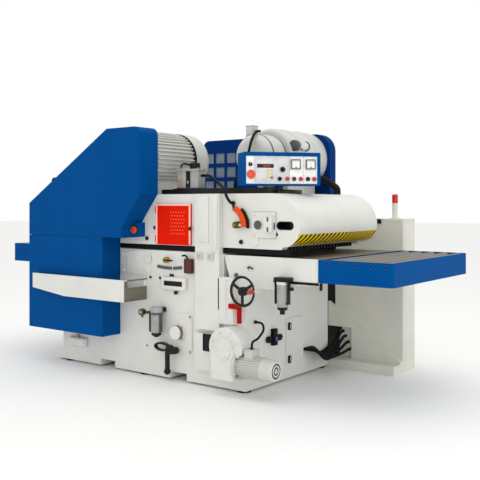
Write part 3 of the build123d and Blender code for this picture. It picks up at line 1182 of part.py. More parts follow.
# Brake lever: brass hub and a curved handle swung from it
BRAKE_X = 621
BRAKE_Z = 1064
BRAKE_HUB_RADIUS = 22
BRAKE_HUB = 40
BRAKE_ARC = (548, 1052)             # centre of the handle's curve
BRAKE_ARC_RADIUS = 132
BRAKE_ARC_WIDTH = 30
BRAKE_ARC_ANGLE = 64
BRAKE_ARM_HALF_WIDTH = 12
BRAKE_THICKNESS = 16
with BuildPart() as brake_lever:
    hub_y = (NEAR - BRAKE_HUB, NEAR - RUN)
    rod_y(BRAKE_X, BRAKE_Z, BRAKE_HUB_RADIUS, hub_y)
    lever_y = (NEAR - BRAKE_HUB, NEAR - BRAKE_HUB + BRAKE_THICKNESS)
    with BuildSketch(Plane.XZ.offset(-lever_y[0])) as handle:
        with BuildLine():
            CenterArc(BRAKE_ARC, BRAKE_ARC_RADIUS, 0, BRAKE_ARC_ANGLE)
        trace(line_width=BRAKE_ARC_WIDTH)
    extrude(handle.sketch, amount=-BRAKE_THICKNESS)
    arm_x = (BRAKE_X, BRAKE_ARC[0] + BRAKE_ARC_RADIUS)
    block(arm_x, lever_y, (BRAKE_Z - BRAKE_ARM_HALF_WIDTH, BRAKE_Z + BRAKE_ARM_HALF_WIDTH))
save(brake_lever.part, "brake_lever")

# Control post: black rail along the top's near edge and the swivel post
RAIL_LEFT = 0
RAIL_DEPTH = 120
RAIL_HEIGHT = 38
POST_X = 790
POST_Y_CENTRE = -378
POST_RADIUS = 26
POST_HEIGHT = 50
POST_TOP = HEAD_TOP + POST_HEIGHT
POST_FLANGE_RADIUS = 62
POST_FLANGE = 14
rail_y = (inner_y[0], inner_y[0] + RAIL_DEPTH)
with BuildPart() as control_post:
    block((RAIL_LEFT, HOOD_FLAT_START), rail_y, (HEAD_TOP, HEAD_TOP + RAIL_HEIGHT))
    rod_z(POST_X, POST_Y_CENTRE, POST_FLANGE_RADIUS, (HEAD_TOP, HEAD_TOP + POST_FLANGE))
    rod_z(POST_X, POST_Y_CENTRE, POST_RADIUS, (HEAD_TOP, POST_TOP))
save(control_post.part, "control_post")

# Lubricator on the rail: clear reservoir, two valve bodies, a top plate and a pump
LUBE_LEFT = 24
LUBE_WIDTH = 190
LUBE_DEPTH = 80
LUBE_INSET = 14             # from the rail's near edge
LUBE_HEIGHT = 120
LUBE_PLATE = 14
LUBE_PLATE_LAP = 6
LUBE_BODIES = ((0, 78), (84, 116), (122, LUBE_WIDTH))
PUMP_OFFSET = 132
PUMP_RADIUS = 36
PUMP_HEIGHT = 58
lube_bottom = HEAD_TOP + RAIL_HEIGHT
lube_top = lube_bottom + LUBE_HEIGHT
lube_y = (rail_y[0] + LUBE_INSET, rail_y[0] + LUBE_INSET + LUBE_DEPTH)
lube_right = LUBE_LEFT + LUBE_WIDTH
with BuildPart() as lubricator:
    for start, end in LUBE_BODIES:
        block((LUBE_LEFT + start, LUBE_LEFT + end), lube_y, (lube_bottom, lube_top))
    plate_x = (LUBE_LEFT - LUBE_PLATE_LAP, lube_right + LUBE_PLATE_LAP)
    plate_y = (lube_y[0] - LUBE_PLATE_LAP, lube_y[1] + LUBE_PLATE_LAP)
    block(plate_x, plate_y, (lube_top, lube_top + LUBE_PLATE))
    rod_z(LUBE_LEFT + PUMP_OFFSET, sum(lube_y) / 2, PUMP_RADIUS, (lube_top, lube_top + PUMP_HEIGHT))
save(lubricator.part, "lubricator")

# Hoses on the head: lubricator to brake lever, rear guard to hood, and the rear motor's cable
HOSE_RADIUS = 9
HOSE_RISE = 88              # exit above the rail
HOSE_RUN = 70               # straight out of the lubricator
HOSE_SPAN = 204
HOSE_OVER = 48              # above the head's edge
HOSE_BOW = 44               # in front of the near plate
HOSE_END_X = 578
HOSE_END_DROP = 60          # below the head's top
THICK_HOSE_RADIUS = 24
THICK_HOSE_INSET = 30       # from the rear guard's right end
THICK_HOSE_RISE = 118
THICK_HOSE_RUN = 178        # towards the hood
THICK_HOSE_BACK = 155       # towards the near side
CABLE_DROP = 35             # exit below the terminal box's top
CABLE_OUT = 62              # in front of the fan end
CABLE_END_INSET = 41        # from the rail's far edge
with BuildPart() as head_hoses:
    lube_middle = sum(lube_y) / 2
    hose_z = lube_bottom + HOSE_RISE
    hose_end = HEAD_TOP - HOSE_END_DROP
    lever_hose = (
        (lube_right, lube_middle, hose_z),
        (lube_right + HOSE_RUN, lube_middle, hose_z),
        (HOSE_END_X - HOSE_SPAN, lube_middle - HOSE_BOW, HEAD_TOP + 1.8 * HOSE_OVER),
        (HOSE_END_X - 0.6 * HOSE_SPAN, NEAR + 0.8 * HOSE_BOW, HEAD_TOP + HOSE_OVER),
        (HOSE_END_X - 0.3 * HOSE_SPAN, NEAR - 0.3 * HOSE_BOW, HEAD_TOP + 0.6 * HOSE_OVER),
        (HOSE_END_X - 0.15 * HOSE_SPAN, NEAR - HOSE_BOW, hose_end + HOSE_OVER),
        (HOSE_END_X - 0.02 * HOSE_SPAN, NEAR - HOSE_BOW, hose_end + 0.25 * HOSE_OVER),
        (HOSE_END_X, NEAR - 0.65 * HOSE_BOW, hose_end),
        (HOSE_END_X, NEAR, hose_end),
    )
    tube(lever_hose, HOSE_RADIUS)
    thick_x = REAR_GUARD_RIGHT - THICK_HOSE_INSET
    thick_z = HEAD_TOP + THICK_HOSE_RISE
    thick_end = (thick_x + THICK_HOSE_RUN, rear_y[0] - THICK_HOSE_BACK)
    thick_hose = (
        (thick_x, rear_y[0], thick_z),
        (thick_x, rear_y[0] - 0.4 * THICK_HOSE_BACK, thick_z),
        (thick_x + 0.3 * THICK_HOSE_RUN, rear_y[0] - 0.7 * THICK_HOSE_BACK, thick_z - 0.12 * THICK_HOSE_RISE),
        (thick_x + 0.7 * THICK_HOSE_RUN, rear_y[0] - 0.9 * THICK_HOSE_BACK, thick_z - 0.38 * THICK_HOSE_RISE),
        (*thick_end, thick_z - 0.66 * THICK_HOSE_RISE),
        (*thick_end, HEAD_TOP),
    )
    tube(thick_hose, THICK_HOSE_RADIUS)
    cable_x = rear_box_x[1]
    cable_y = sum(rear_box_y) / 2
    cable_z = rear_box_top - CABLE_DROP
    cable_end = rail_y[1] - CABLE_END_INSET
    cable_slack = REAR_MOTOR_NEAR - CABLE_OUT
    drop = cable_z - lube_bottom
    motor_cable = (
        (cable_x, cable_y, cable_z),
        (cable_x + 0.5 * CABLE_OUT, cable_y, cable_z),
        (cable_x + CABLE_OUT, cable_y - 0.5 * CABLE_OUT, cable_z - 0.01 * drop),
        (cable_x + 1.1 * CABLE_OUT, REAR_MOTOR_NEAR + 0.2 * CABLE_OUT, cable_z - 0.04 * drop),
        (cable_x + 1.1 * CABLE_OUT, REAR_MOTOR_NEAR - 0.5 * CABLE_OUT, cable_z - 0.19 * drop),
        (cable_x + CABLE_OUT, REAR_MOTOR_NEAR - 0.8 * CABLE_OUT, cable_z - 0.37 * drop),
        (cable_x + 0.7 * CABLE_OUT, cable_slack, cable_z - 0.57 * drop),
        (REAR_MOTOR_X - 0.1 * CABLE_OUT, 0.5 * (cable_slack + cable_end), cable_z - 0.74 * drop),
        (REAR_MOTOR_X, cable_end, lube_bottom + 0.13 * drop),
        (REAR_MOTOR_X, cable_end, lube_bottom),
    )
    tube(motor_cable, HOSE_RADIUS)
save(head_hoses.part, "head_hoses")

# Control box on the post: turned housing with a recessed panel and its buttons
BOX_YAW = 50
BOX_WIDTH = 508
BOX_HEIGHT = 210
BOX_DEPTH = 150
PANEL_RECESS = 6
PANEL_SIDE = 20
PANEL_TOP = 24
PANEL_BOTTOM = 10
BUTTON_RADIUS = 13
BUTTON_HEIGHT = 8
PLUNGER_RADIUS = 6
PLUNGER_LENGTH = 16
BUTTON_ROW_HEIGHT = -63
BUTTON_PLACES = (-16, 34, 79, 123, 170, 213)
PANEL_STOP_PLACE = (-202, -36)
KNOB_PLACE = (3, -4)
KNOB_RADIUS = 15
KNOB_BAR_WIDTH = 8
KNOB_BAR = 10
BOX_CORNER = 8
box_bottom = POST_TOP + RUN
turn = radians(BOX_YAW)
across = Vector(cos(turn), sin(turn), 0)
outward = Vector(sin(turn), -cos(turn), 0)
front_centre = Vector(POST_X, POST_Y_CENTRE, box_bottom + BOX_HEIGHT / 2) + outward * (BOX_DEPTH / 2)
front = Plane(origin=front_centre, x_dir=across, z_dir=outward)
panel_face = front.offset(-PANEL_RECESS)
panel_middle = (PANEL_BOTTOM - PANEL_TOP) / 2
with BuildPart() as control_box:
    with BuildSketch(front) as box_face:
        RectangleRounded(BOX_WIDTH, BOX_HEIGHT, BOX_CORNER)
    extrude(box_face.sketch, amount=-BOX_DEPTH)
    with BuildSketch(front) as recess:
        with Locations((0, panel_middle)):
            Rectangle(BOX_WIDTH - 2 * PANEL_SIDE, BOX_HEIGHT - PANEL_TOP - PANEL_BOTTOM)
    extrude(recess.sketch, amount=-PANEL_RECESS, mode=Mode.SUBTRACT)
    with BuildSketch(panel_face) as bores:
        with Locations(*[(x, BUTTON_ROW_HEIGHT) for x in BUTTON_PLACES]):
            Circle(PLUNGER_RADIUS + RUN)
        with Locations(PANEL_STOP_PLACE):
            Circle(STEM_RADIUS + RUN)
        with Locations(KNOB_PLACE):
            Circle(PLUNGER_RADIUS + RUN)
    extrude(bores.sketch, amount=-BORE_DEPTH, mode=Mode.SUBTRACT)
save(control_box.part, "control_box")


def plunger_button(place, radius, height, stem):
    """Add a cap standing one travel off the panel, on a stem in its bore."""
    with BuildSketch(panel_face.offset(BUTTON_TRAVEL + RUN)) as cap:
        with Locations(place):
            Circle(radius)
    extrude(cap.sketch, amount=height)
    with BuildSketch(panel_face.offset(BUTTON_TRAVEL + RUN)) as post:
        with Locations(place):
            Circle(stem)
    extrude(post.sketch, amount=-PLUNGER_LENGTH)


for number, x in enumerate(BUTTON_PLACES, start=1):
    with BuildPart() as push_button:
        plunger_button((x, BUTTON_ROW_HEIGHT), BUTTON_RADIUS, BUTTON_HEIGHT, PLUNGER_RADIUS)
    save(push_button.part, f"push_button_{number}")

with BuildPart() as panel_stop_button:
    plunger_button(PANEL_STOP_PLACE, MUSHROOM_RADIUS, MUSHROOM_HEIGHT, STEM_RADIUS)
save(panel_stop_button.part, "panel_stop_button")

with BuildPart() as selector_knob:
    plunger_button(KNOB_PLACE, KNOB_RADIUS, BUTTON_HEIGHT, PLUNGER_RADIUS)
    with BuildSketch(panel_face.offset(BUTTON_TRAVEL + BUTTON_HEIGHT)) as bar:
        with Locations(KNOB_PLACE):
            Rectangle(KNOB_BAR_WIDTH, 2 * KNOB_RADIUS)
    extrude(bar.sketch, amount=KNOB_BAR)
save(selector_knob.part, "selector_knob")
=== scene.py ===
"""Looks of the double-sided planer: finishes, trim and studio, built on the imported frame."""
from math import atan2, cos, radians, sin

import bpy
from mathutils import Matrix, Vector


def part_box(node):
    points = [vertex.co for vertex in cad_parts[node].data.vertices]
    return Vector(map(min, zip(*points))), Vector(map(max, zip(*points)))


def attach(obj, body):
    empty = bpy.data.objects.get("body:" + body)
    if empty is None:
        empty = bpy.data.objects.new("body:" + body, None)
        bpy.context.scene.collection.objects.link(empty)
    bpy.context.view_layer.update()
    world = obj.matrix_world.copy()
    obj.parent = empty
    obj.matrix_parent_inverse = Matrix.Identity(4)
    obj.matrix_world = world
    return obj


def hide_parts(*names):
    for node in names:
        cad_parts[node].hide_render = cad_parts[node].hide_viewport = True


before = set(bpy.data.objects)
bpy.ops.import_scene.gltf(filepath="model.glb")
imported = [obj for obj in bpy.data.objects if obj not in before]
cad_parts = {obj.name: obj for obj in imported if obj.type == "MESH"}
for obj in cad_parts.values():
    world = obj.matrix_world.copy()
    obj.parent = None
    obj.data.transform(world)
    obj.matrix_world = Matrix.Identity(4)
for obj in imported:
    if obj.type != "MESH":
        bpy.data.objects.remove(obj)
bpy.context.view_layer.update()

bl_info = {
    "name": "Double-sided planer",
    "version": (1, 0, 0),
    "blender": (4, 5, 0),
    "location": "View3D > Sidebar > Planer",
    "description": "Dresses the planer's frame with finishes, trim and a studio",
    "category": "Add Mesh",
}

MM = 0.001
AXES = {
    "+X": Vector((1, 0, 0)), "-X": Vector((-1, 0, 0)),
    "+Y": Vector((0, 1, 0)), "-Y": Vector((0, -1, 0)),
    "+Z": Vector((0, 0, 1)), "-Z": Vector((0, 0, -1)),
}
FINISHES = {}
# Most of a noise pattern lies between these values
NOISE_LOW, NOISE_HIGH = 0.3, 0.7
# Numbers of the Mix node's sockets for colours
MIX_SHARE, MIX_FIRST, MIX_SECOND, MIX_RESULT = 0, 6, 7, 2


def corners(node):
    """Lowest and highest corner of a node at rest, in millimetres."""
    return [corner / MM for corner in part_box(node)]


def middle_of(node):
    """Middle of a node at rest, in millimetres."""
    low, high = corners(node)
    return (low + high) / 2


# Faces that the fittings sit on, in millimetres
BASE_LOW, BASE_HIGH = corners("base_frame")
NEAR, FAR = BASE_LOW.y, BASE_HIGH.y
BASE_END = BASE_HIGH.x
COLUMN_FACE = corners("head_side_near")[0].y
FAR_COLUMN_FACE = corners("head_side_far")[1].y
HEAD_TOP = corners("head_top")[1].z
GUARD_FACE = corners("upper_belt_guard")[0].y
CABINET_LOW, CABINET_HIGH = corners("electrical_cabinet")
CABINET_FACE = CABINET_LOW.y
POLE_HEIGHT = 112
CABINET_ROOF = CABINET_HIGH.z - POLE_HEIGHT
# Stop buttons: depth of the cap, and the room behind it to press in
CAP_DEPTH, PRESS_ROOM = 16, 4.4
# Feed motor: its axis, and the middle of the lid that its lead comes out of
FEED_Y, FEED_Z, FEED_LID_X = -645, 192, 770


def linear(code):
    """Turn an sRGB hex colour into linear values."""
    parts = [int(code[i:i + 2], 16) / 255 for i in (0, 2, 4)]
    return tuple(v / 12.92 if v <= 0.04045 else ((v + 0.055) / 1.055) ** 2.4 for v in parts)


def colour_property(name, what, code):
    """A colour that the user may change."""
    return bpy.props.FloatVectorProperty(
        name=name, description=what, subtype="COLOR", size=3, min=0, max=1, default=linear(code))


def length_property(name, what, millimetres):
    """A length that the user may change."""
    return bpy.props.FloatProperty(
        name=name, description=what, default=millimetres * MM, min=0.0001, unit="LENGTH")


class PlanerColours(bpy.types.PropertyGroup):
    blue: colour_property("Blue", "Powder coat of the guards, tables and control box", "004A8B")
    # The navy is the blue paint darkened to a painted shade, for the rear guard that lies in shadow
    navy: colour_property("Navy", "Powder coat of the rear guard", "053070")
    white: colour_property("White", "Enamel of the castings and sheet covers", "DBDBD5")
    cabinet: colour_property("Cabinet", "Powder coat of the electrical cabinet", "D6D5CA")
    motor: colour_property("Motor", "Paint of the motors", "C6C6C0")
    red: colour_property("Red", "Paint of the perforated door", "DE1C00")
    orange: colour_property("Orange", "Paint of the brake lever", "DE4C18")
    yellow: colour_property("Yellow", "Yellow of the hazard band", "ECCB00")


class PlanerSizes(bpy.types.PropertyGroup):
    bolt: length_property("Bolt", "Across the flats of the cover bolts", 15)
    stripe: length_property("Stripe", "Pitch of the hazard stripes", 50)
    hole_pitch: length_property("Hole pitch", "Pitch of the door's perforations", 24)
    edge: length_property("Edge", "Rounding on the edges of small fittings", 1.2)


# Finishes

def add_node(tree, kind, inputs=None, **settings):
    """Add a node with its settings, and set its inputs or link them; a node gives its first output."""
    node = tree.nodes.new(kind)
    for key, value in settings.items():
        setattr(node, key, value)
    for key, value in (inputs or {}).items():
        if isinstance(value, bpy.types.Node):
            value = value.outputs[0]
        if isinstance(value, bpy.types.NodeSocket):
            tree.links.new(value, node.inputs[key])
        else:
            node.inputs[key].default_value = value
    return node


def blank(name, **sockets):
    """Start a finish: its shader with constant values, and the place on the piece."""
    finish = bpy.data.materials.new(name)
    finish.use_nodes = True
    tree = finish.node_tree
    shader = tree.nodes["Principled BSDF"]
    for key, value in sockets.items():
        shader.inputs[key.replace("_", " ")].default_value = value
    place = add_node(tree, "ShaderNodeTexCoord").outputs["Object"]
    FINISHES[name] = finish
    return tree, shader, place


def clouds(tree, place, size, detail, span):
    """Noise with clouds of a size in millimetres, and the same noise brought to a span."""
    noise = add_node(tree, "ShaderNodeTexNoise", {
        "Vector": place, "Scale": 1 / (size * MM), "Detail": detail})
    spread = add_node(tree, "ShaderNodeMapRange", {
        "Value": noise, "From Min": NOISE_LOW, "From Max": NOISE_HIGH,
        "To Min": span[0], "To Max": span[1]})
    return noise, spread


def rough_and_bump(tree, shader, place, grain, height, rough):
    """Grain of a size and height in millimetres that varies the gloss and lifts the surface."""
    noise, gloss = clouds(tree, place, grain, 4.0, rough)
    bump = add_node(tree, "ShaderNodeBump", {"Height": noise, "Strength": 0.25, "Distance": height * MM})
    tree.links.new(gloss.outputs[0], shader.inputs["Roughness"])
    tree.links.new(bump.outputs[0], shader.inputs["Normal"])


def patchy(tree, shader, place, colour, patch, drift):
    """Colour that drifts a little lighter and darker in patches of a size in millimetres."""
    share = clouds(tree, place, patch, 3.0, drift)[1]
    tone = add_node(tree, "ShaderNodeVectorMath", {0: tuple(colour), "Scale": share}, operation="SCALE")
    tree.links.new(tone.outputs[0], shader.inputs["Base Color"])
    return tone


def powder_coat(name, colour, rough=(0.42, 0.56), specular=0.02):
    """Sprayed and baked powder: satin, with orange peel drawn 6 mm across so that it shows."""
    start = blank(name, Specular_IOR_Level=specular)
    patchy(*start, colour, 250, (0.94, 1.03))
    rough_and_bump(*start, 6, 0.4, rough)


def enamel_on_casting(name, colour):
    """Brushed enamel over filled iron: broad unevenness of about 60 mm and a soft gloss."""
    start = blank(name, Specular_IOR_Level=0.35)
    patchy(*start, colour, 180, (0.95, 1.02))
    rough_and_bump(*start, 60, 1.2, (0.34, 0.5))


def worked_steel(name, code, stretch, rough):
    """Ground or turned metal: fine lines along the work, drawn 1.5 mm wide so that they show."""
    tree, shader, place = blank(name, Metallic=1.0)
    along = add_node(tree, "ShaderNodeMapping", {"Vector": place, "Scale": stretch})
    patchy(tree, shader, along, linear(code), 30, (0.86, 1.06))
    rough_and_bump(tree, shader, along, 1.5, 0.2, rough)


def moulded(name, code, grain, rough, drift=(0.9, 1.08), **sockets):
    """Moulded plastic or rubber: even colour with a faint spark-eroded grain."""
    start = blank(name, **sockets)
    patchy(*start, linear(code), 50, drift)
    rough_and_bump(*start, grain, 0.3, rough)


def dots(tree, place, pitch, size):
    """1 inside round dots in staggered rows on XZ, else 0; the dots' radius is a share of the pitch."""
    cell = add_node(tree, "ShaderNodeVectorMath", {0: place, "Scale": 1 / pitch}, operation="SCALE")
    axes = add_node(tree, "ShaderNodeSeparateXYZ", {0: cell}).outputs
    row = add_node(tree, "ShaderNodeMath", {0: axes["Z"]}, operation="FLOOR")
    shift = add_node(tree, "ShaderNodeMath", {0: row, 1: 0.5, 2: axes["X"]}, operation="MULTIPLY_ADD")
    moved = add_node(tree, "ShaderNodeCombineXYZ", {"X": shift, "Z": axes["Z"]})
    part = add_node(tree, "ShaderNodeVectorMath", {0: moved}, operation="FRACTION")
    middle = add_node(tree, "ShaderNodeVectorMath", {0: part, 1: (0.5, 0, 0.5)}, operation="SUBTRACT")
    far = add_node(tree, "ShaderNodeVectorMath", {0: middle}, operation="LENGTH").outputs["Value"]
    return add_node(tree, "ShaderNodeMath", {0: far, 1: size}, operation="LESS_THAN")


def perforated_enamel(name, colour, pitch, field):
    """Red enamel on a sheet with a field of punched holes that show the pale inside."""
    tree, shader, place = start = blank(name, Specular_IOR_Level=0.04)
    tone = patchy(*start, colour, 200, (0.95, 1.03))
    rough_and_bump(*start, 6, 0.4, (0.35, 0.45))
    axes = add_node(tree, "ShaderNodeSeparateXYZ", {0: place}).outputs
    holes = dots(tree, place, pitch, 0.19)
    for axis, (low, high) in field.items():
        within = add_node(tree, "ShaderNodeMath", {
            0: axes[axis], 1: (low + high) / 2 * MM, 2: (high - low) / 2 * MM}, operation="COMPARE")
        holes = add_node(tree, "ShaderNodeMath", {0: holes, 1: within}, operation="MULTIPLY")
    mixed = add_node(tree, "ShaderNodeMix", {
        MIX_SHARE: holes, MIX_FIRST: tone, MIX_SECOND: (*linear("F4745C"), 1)}, data_type="RGBA")
    tree.links.new(mixed.outputs[MIX_RESULT], shader.inputs["Base Color"])


def hazard_film(name, yellow, pitch):
    """Vinyl film with slanted black stripes."""
    tree, shader, place = start = blank(name, Specular_IOR_Level=0.2)
    axes = add_node(tree, "ShaderNodeSeparateXYZ", {0: place}).outputs
    slant = add_node(tree, "ShaderNodeMath", {0: axes["Z"], 1: -0.75, 2: axes["Y"]}, operation="MULTIPLY_ADD")
    turn = add_node(tree, "ShaderNodeMath", {0: slant, 1: 1 / pitch}, operation="MULTIPLY")
    part = add_node(tree, "ShaderNodeMath", {0: turn}, operation="FRACT")
    black = add_node(tree, "ShaderNodeMath", {0: part, 1: 0.48}, operation="LESS_THAN")
    mixed = add_node(tree, "ShaderNodeMix", {
        MIX_SHARE: black, MIX_FIRST: (*yellow, 1), MIX_SECOND: (*linear("151208"), 1)}, data_type="RGBA")
    tree.links.new(mixed.outputs[MIX_RESULT], shader.inputs["Base Color"])
    rough_and_bump(*start, 10, 0.2, (0.4, 0.5))


def wire_mesh(name, code):
    """Grey painted mesh, drawn as 9 mm cells so that they show."""
    tree, shader, place = start = blank(name, Roughness=0.6)
    tone = patchy(*start, linear(code), 100, (0.9, 1.05))
    cells = dots(tree, place, 9 * MM, 0.36)
    mixed = add_node(tree, "ShaderNodeMix", {
        MIX_SHARE: cells, MIX_FIRST: tone, MIX_SECOND: (*linear("3C4A5E"), 1)}, data_type="RGBA")
    tree.links.new(mixed.outputs[MIX_RESULT], shader.inputs["Base Color"])


def make_finishes(colours, sizes):
    """Every finish of the machine."""
    # Sheet steel under baked powder: even satin colour with a fine orange peel; the navy is the blue darkened
    # to paint the shade on the rear guard
    powder_coat("blue_powder_coat", colours.blue)
    powder_coat("navy_powder_coat", colours.navy)
    powder_coat("cabinet_powder_coat", colours.cabinet, (0.38, 0.5), 0.2)
    powder_coat("crimson_enamel", linear("A8140C"))
    powder_coat("orange_enamel", colours.orange, specular=0.1)
    # Pale pink coat for strips that paint the highlight on the red door's folded edges
    powder_coat("pale_edge_enamel", linear("F4C9BC"))
    # Iron castings and motor shells under brushed enamel: soft gloss over slow waves
    enamel_on_casting("white_enamel", colours.white)
    enamel_on_casting("motor_enamel", colours.motor)
    # Punched red sheet: rows of pale points in a hot red field
    perforated_enamel(
        "perforated_red_enamel", colours.red, sizes.hole_pitch, {"X": (46, 175), "Z": (985, 1150)})
    # Printed vinyl: crisp slanted stripes with a low sheen
    hazard_film("hazard_film", tuple(colours.yellow), sizes.stripe)
    # Painted wire cloth: a grey haze with dark cells
    wire_mesh("grey_wire_mesh", "8C98A8")
    # Steel and brass: bright, with streaks along the cut
    worked_steel("ground_steel", "A9A7A2", (1, 0.02, 1), (0.3, 0.46))
    worked_steel("rolled_steel", "847F75", (1, 0.02, 1), (0.36, 0.52))
    worked_steel("dark_brass", "5E5430", (1, 0.2, 1), (0.3, 0.44))
    worked_steel("turned_steel", "A8ABB0", (1, 1, 0.05), (0.2, 0.34))
    worked_steel("blackened_steel", "34363A", (1, 0.05, 1), (0.4, 0.55))
    worked_steel("polished_chrome", "D8DADD", (1, 1, 1), (0.06, 0.12))
    worked_steel("brass", "B58A3A", (1, 0.2, 1), (0.22, 0.36))
    # Grey-brown steel that paints the shade on the tray's end and on the side of the access cover's boss
    worked_steel("zinc_plate", "8F897E", (1, 0.1, 1), (0.4, 0.55))
    # Rubber and black mouldings: deep and matt, or with a tight highlight
    moulded("black_rubber", "0B0B0C", 4, (0.5, 0.66), Specular_IOR_Level=0.15)
    moulded("black_plastic", "0E0F10", 2, (0.28, 0.4), Specular_IOR_Level=0.25)
    # Grey and white mouldings and panel film: even, faintly grained
    moulded("grey_plastic", "A2A29F", 2, (0.34, 0.46))
    moulded("dark_grey_plastic", "4A4D50", 2, (0.36, 0.48))
    moulded("meter_grey_plastic", "6C7072", 2, (0.36, 0.48))
    moulded("pale_grey_plastic", "D2D4D4", 2, (0.34, 0.46))
    moulded("white_panel_film", "F2F2F0", 3, (0.34, 0.44))
    # Coloured buttons, keys and switches: glossy and saturated
    moulded("red_plastic", "BE2414", 3, (0.2, 0.3))
    moulded("orange_red_plastic", "DE451A", 3, (0.2, 0.3))
    moulded("green_plastic", "12402A", 3, (0.2, 0.3))
    moulded("maroon_plastic", "4A0E0C", 3, (0.28, 0.4))
    moulded("amber_key_film", "CDBE8A", 3, (0.34, 0.44))
    moulded("peach_key_film", "DCD2C6", 3, (0.34, 0.44))
    moulded("brown_key_film", "8B6A58", 3, (0.34, 0.44))
    moulded("valve_blue_plastic", "1D55A4", 3, (0.24, 0.34))
    # Clear mouldings: light passes in and the rims glow
    moulded("smoky_bowl_plastic", "AEAEAA", 4, (0.12, 0.22), Transmission_Weight=0.25)
    moulded("clear_reservoir", "EDEBE2", 4, (0.08, 0.16), Transmission_Weight=0.7)
    moulded("amber_oil", "C98A2B", 20, (0.1, 0.2), Transmission_Weight=0.2)
    moulded("red_lens", "D81A0C", 4, (0.1, 0.2), Transmission_Weight=0.2)
    # Studio floor: pale and without shine
    moulded("floor_vinyl", "F3F3F1", 50, (0.8, 0.9), (0.99, 1.0), Specular_IOR_Level=0.1)


TABLE_ROLLERS = [f"table_roller_{number}" for number in range(1, 6)]
NODE_FINISHES = {
    "white_enamel": (
        "base_frame", "centre_bed", "lower_columns", "access_cover", "feed_gear_case", "infeed_bed",
        "head_side_near", "head_side_far", "head_top", "infeed_hood", "side_tray", "end_hatch"),
    "blue_powder_coat": (
        "outfeed_table", "lower_belt_guard", "upper_belt_guard", "infeed_table", "control_box"),
    # The rear guard gets the blue darkened to a painted shade
    "navy_powder_coat": ("rear_guard",),
    "cabinet_powder_coat": ("electrical_cabinet", "cabinet_door", "cabinet_bracket"),
    "motor_enamel": ("upper_motor", "rear_motor", "feed_motor"),
    "perforated_red_enamel": ("red_door",),
    "crimson_enamel": ("bed_lock_lever",),
    "orange_enamel": ("brake_lever",),
    "ground_steel": ("lower_cutterhead", "upper_cutterhead", "infeed_roller", "upper_rotor"),
    "rolled_steel": TABLE_ROLLERS,
    "blackened_steel": ("kickback_fingers",),
    "turned_steel": ("lift_screw_near", "lift_screw_far"),
    "black_rubber": ("levelling_pads", "conduits", "head_hoses", "upper_belts"),
    "black_plastic": ("control_post", "clamp_handle", "push_button_1", "push_button_5", "selector_knob"),
    "red_plastic": ("push_button_2", "push_button_4", "push_button_6"),
    "green_plastic": ("push_button_3",),
}


# Shaping

def deselect():
    bpy.ops.object.select_all(action="DESELECT")


def activate(piece):
    """Leave only this piece selected and active."""
    deselect()
    piece.select_set(True)
    bpy.context.view_layer.objects.active = piece


def settle(piece):
    """Put the piece's place, turn and size into its mesh."""
    activate(piece)
    bpy.ops.object.transform_apply(location=True, rotation=True, scale=True)
    return piece


def start_edit(piece, kind):
    """Go into edit mode on one piece, with nothing of it selected."""
    activate(piece)
    bpy.ops.object.mode_set(mode="EDIT")
    bpy.ops.mesh.select_mode(type=kind)
    bpy.ops.mesh.select_all(action="DESELECT")


def end_edit():
    bpy.ops.object.mode_set(mode="OBJECT")


def pick(piece, kind, elements, wanted):
    """Select the faces or points that pass a test, and stay in edit mode."""
    start_edit(piece, kind)
    end_edit()
    for element in elements:
        element.select = wanted(element)
    bpy.ops.object.mode_set(mode="EDIT")


def facing(axis):
    """The turn that points +Z along an axis."""
    return AXES["+Z"].rotation_difference(AXES[axis]).to_euler()


def round_edges(piece, edge, segments=2, sharp=35):
    """Bevel the sharp edges in edit mode."""
    start_edit(piece, "EDGE")
    bpy.ops.mesh.edges_select_sharp(sharpness=radians(sharp))
    bpy.ops.mesh.bevel(offset=edge * MM, segments=segments, affect="EDGES")
    end_edit()
    return piece


def slab(low, high, edge=None, segments=2):
    """A block between two corners in millimetres, with rounded edges."""
    deselect()
    middle = [(a + b) / 2 * MM for a, b in zip(low, high)]
    bpy.ops.mesh.primitive_cube_add(size=1, location=middle)
    piece = bpy.context.object
    piece.scale = [(b - a) * MM for a, b in zip(low, high)]
    settle(piece)
    thin = min(b - a for a, b in zip(low, high))
    usual = bpy.context.scene.planer_sizes.edge / MM
    return round_edges(piece, min(edge or usual, thin * 0.35), segments)


def drum(start, axis, length, radius, edge=None, sides=40, segments=2):
    """A round bar from a point along an axis, in millimetres, with rounded rims."""
    deselect()
    middle = (Vector(start) + AXES[axis] * length / 2) * MM
    bpy.ops.mesh.primitive_cylinder_add(
        vertices=sides, radius=radius * MM, depth=length * MM, location=middle, rotation=facing(axis))
    piece = settle(bpy.context.object)
    usual = bpy.context.scene.planer_sizes.edge / MM
    return round_edges(piece, min(edge or usual, length * 0.35, radius * 0.45), segments)


def hollow_front(piece, axis, border, depth):
    """Inset the face that looks along an axis and push it in, in millimetres."""
    along = AXES[axis]
    reach = max(v.co.dot(along) for v in piece.data.vertices) - 0.1 * MM
    pick(piece, "FACE", piece.data.polygons,
         lambda face: face.normal.dot(along) > 0.99 and face.center.dot(along) > reach)
    bpy.ops.mesh.inset(thickness=border * MM)
    bpy.ops.mesh.extrude_region_move(TRANSFORM_OT_translate={"value": along * -depth * MM})
    end_edit()
    return piece


def hoop(middle, axis, radius, thickness, sides=48):
    """A round ring about an axis, with a flat turned on the side that the axis points to."""
    deselect()
    along = AXES[axis]
    bpy.ops.mesh.primitive_torus_add(
        major_radius=radius * MM, minor_radius=thickness * MM, major_segments=sides, minor_segments=12,
        location=Vector(middle) * MM, rotation=facing(axis))
    piece = settle(bpy.context.object)
    flat = (Vector(middle) + along * thickness * 0.8) * MM
    pick(piece, "VERT", piece.data.vertices, lambda point: (point.co - flat).dot(along) > 0)
    bpy.ops.transform.resize(value=[1 - abs(part) for part in along], center_override=flat)
    end_edit()
    return piece


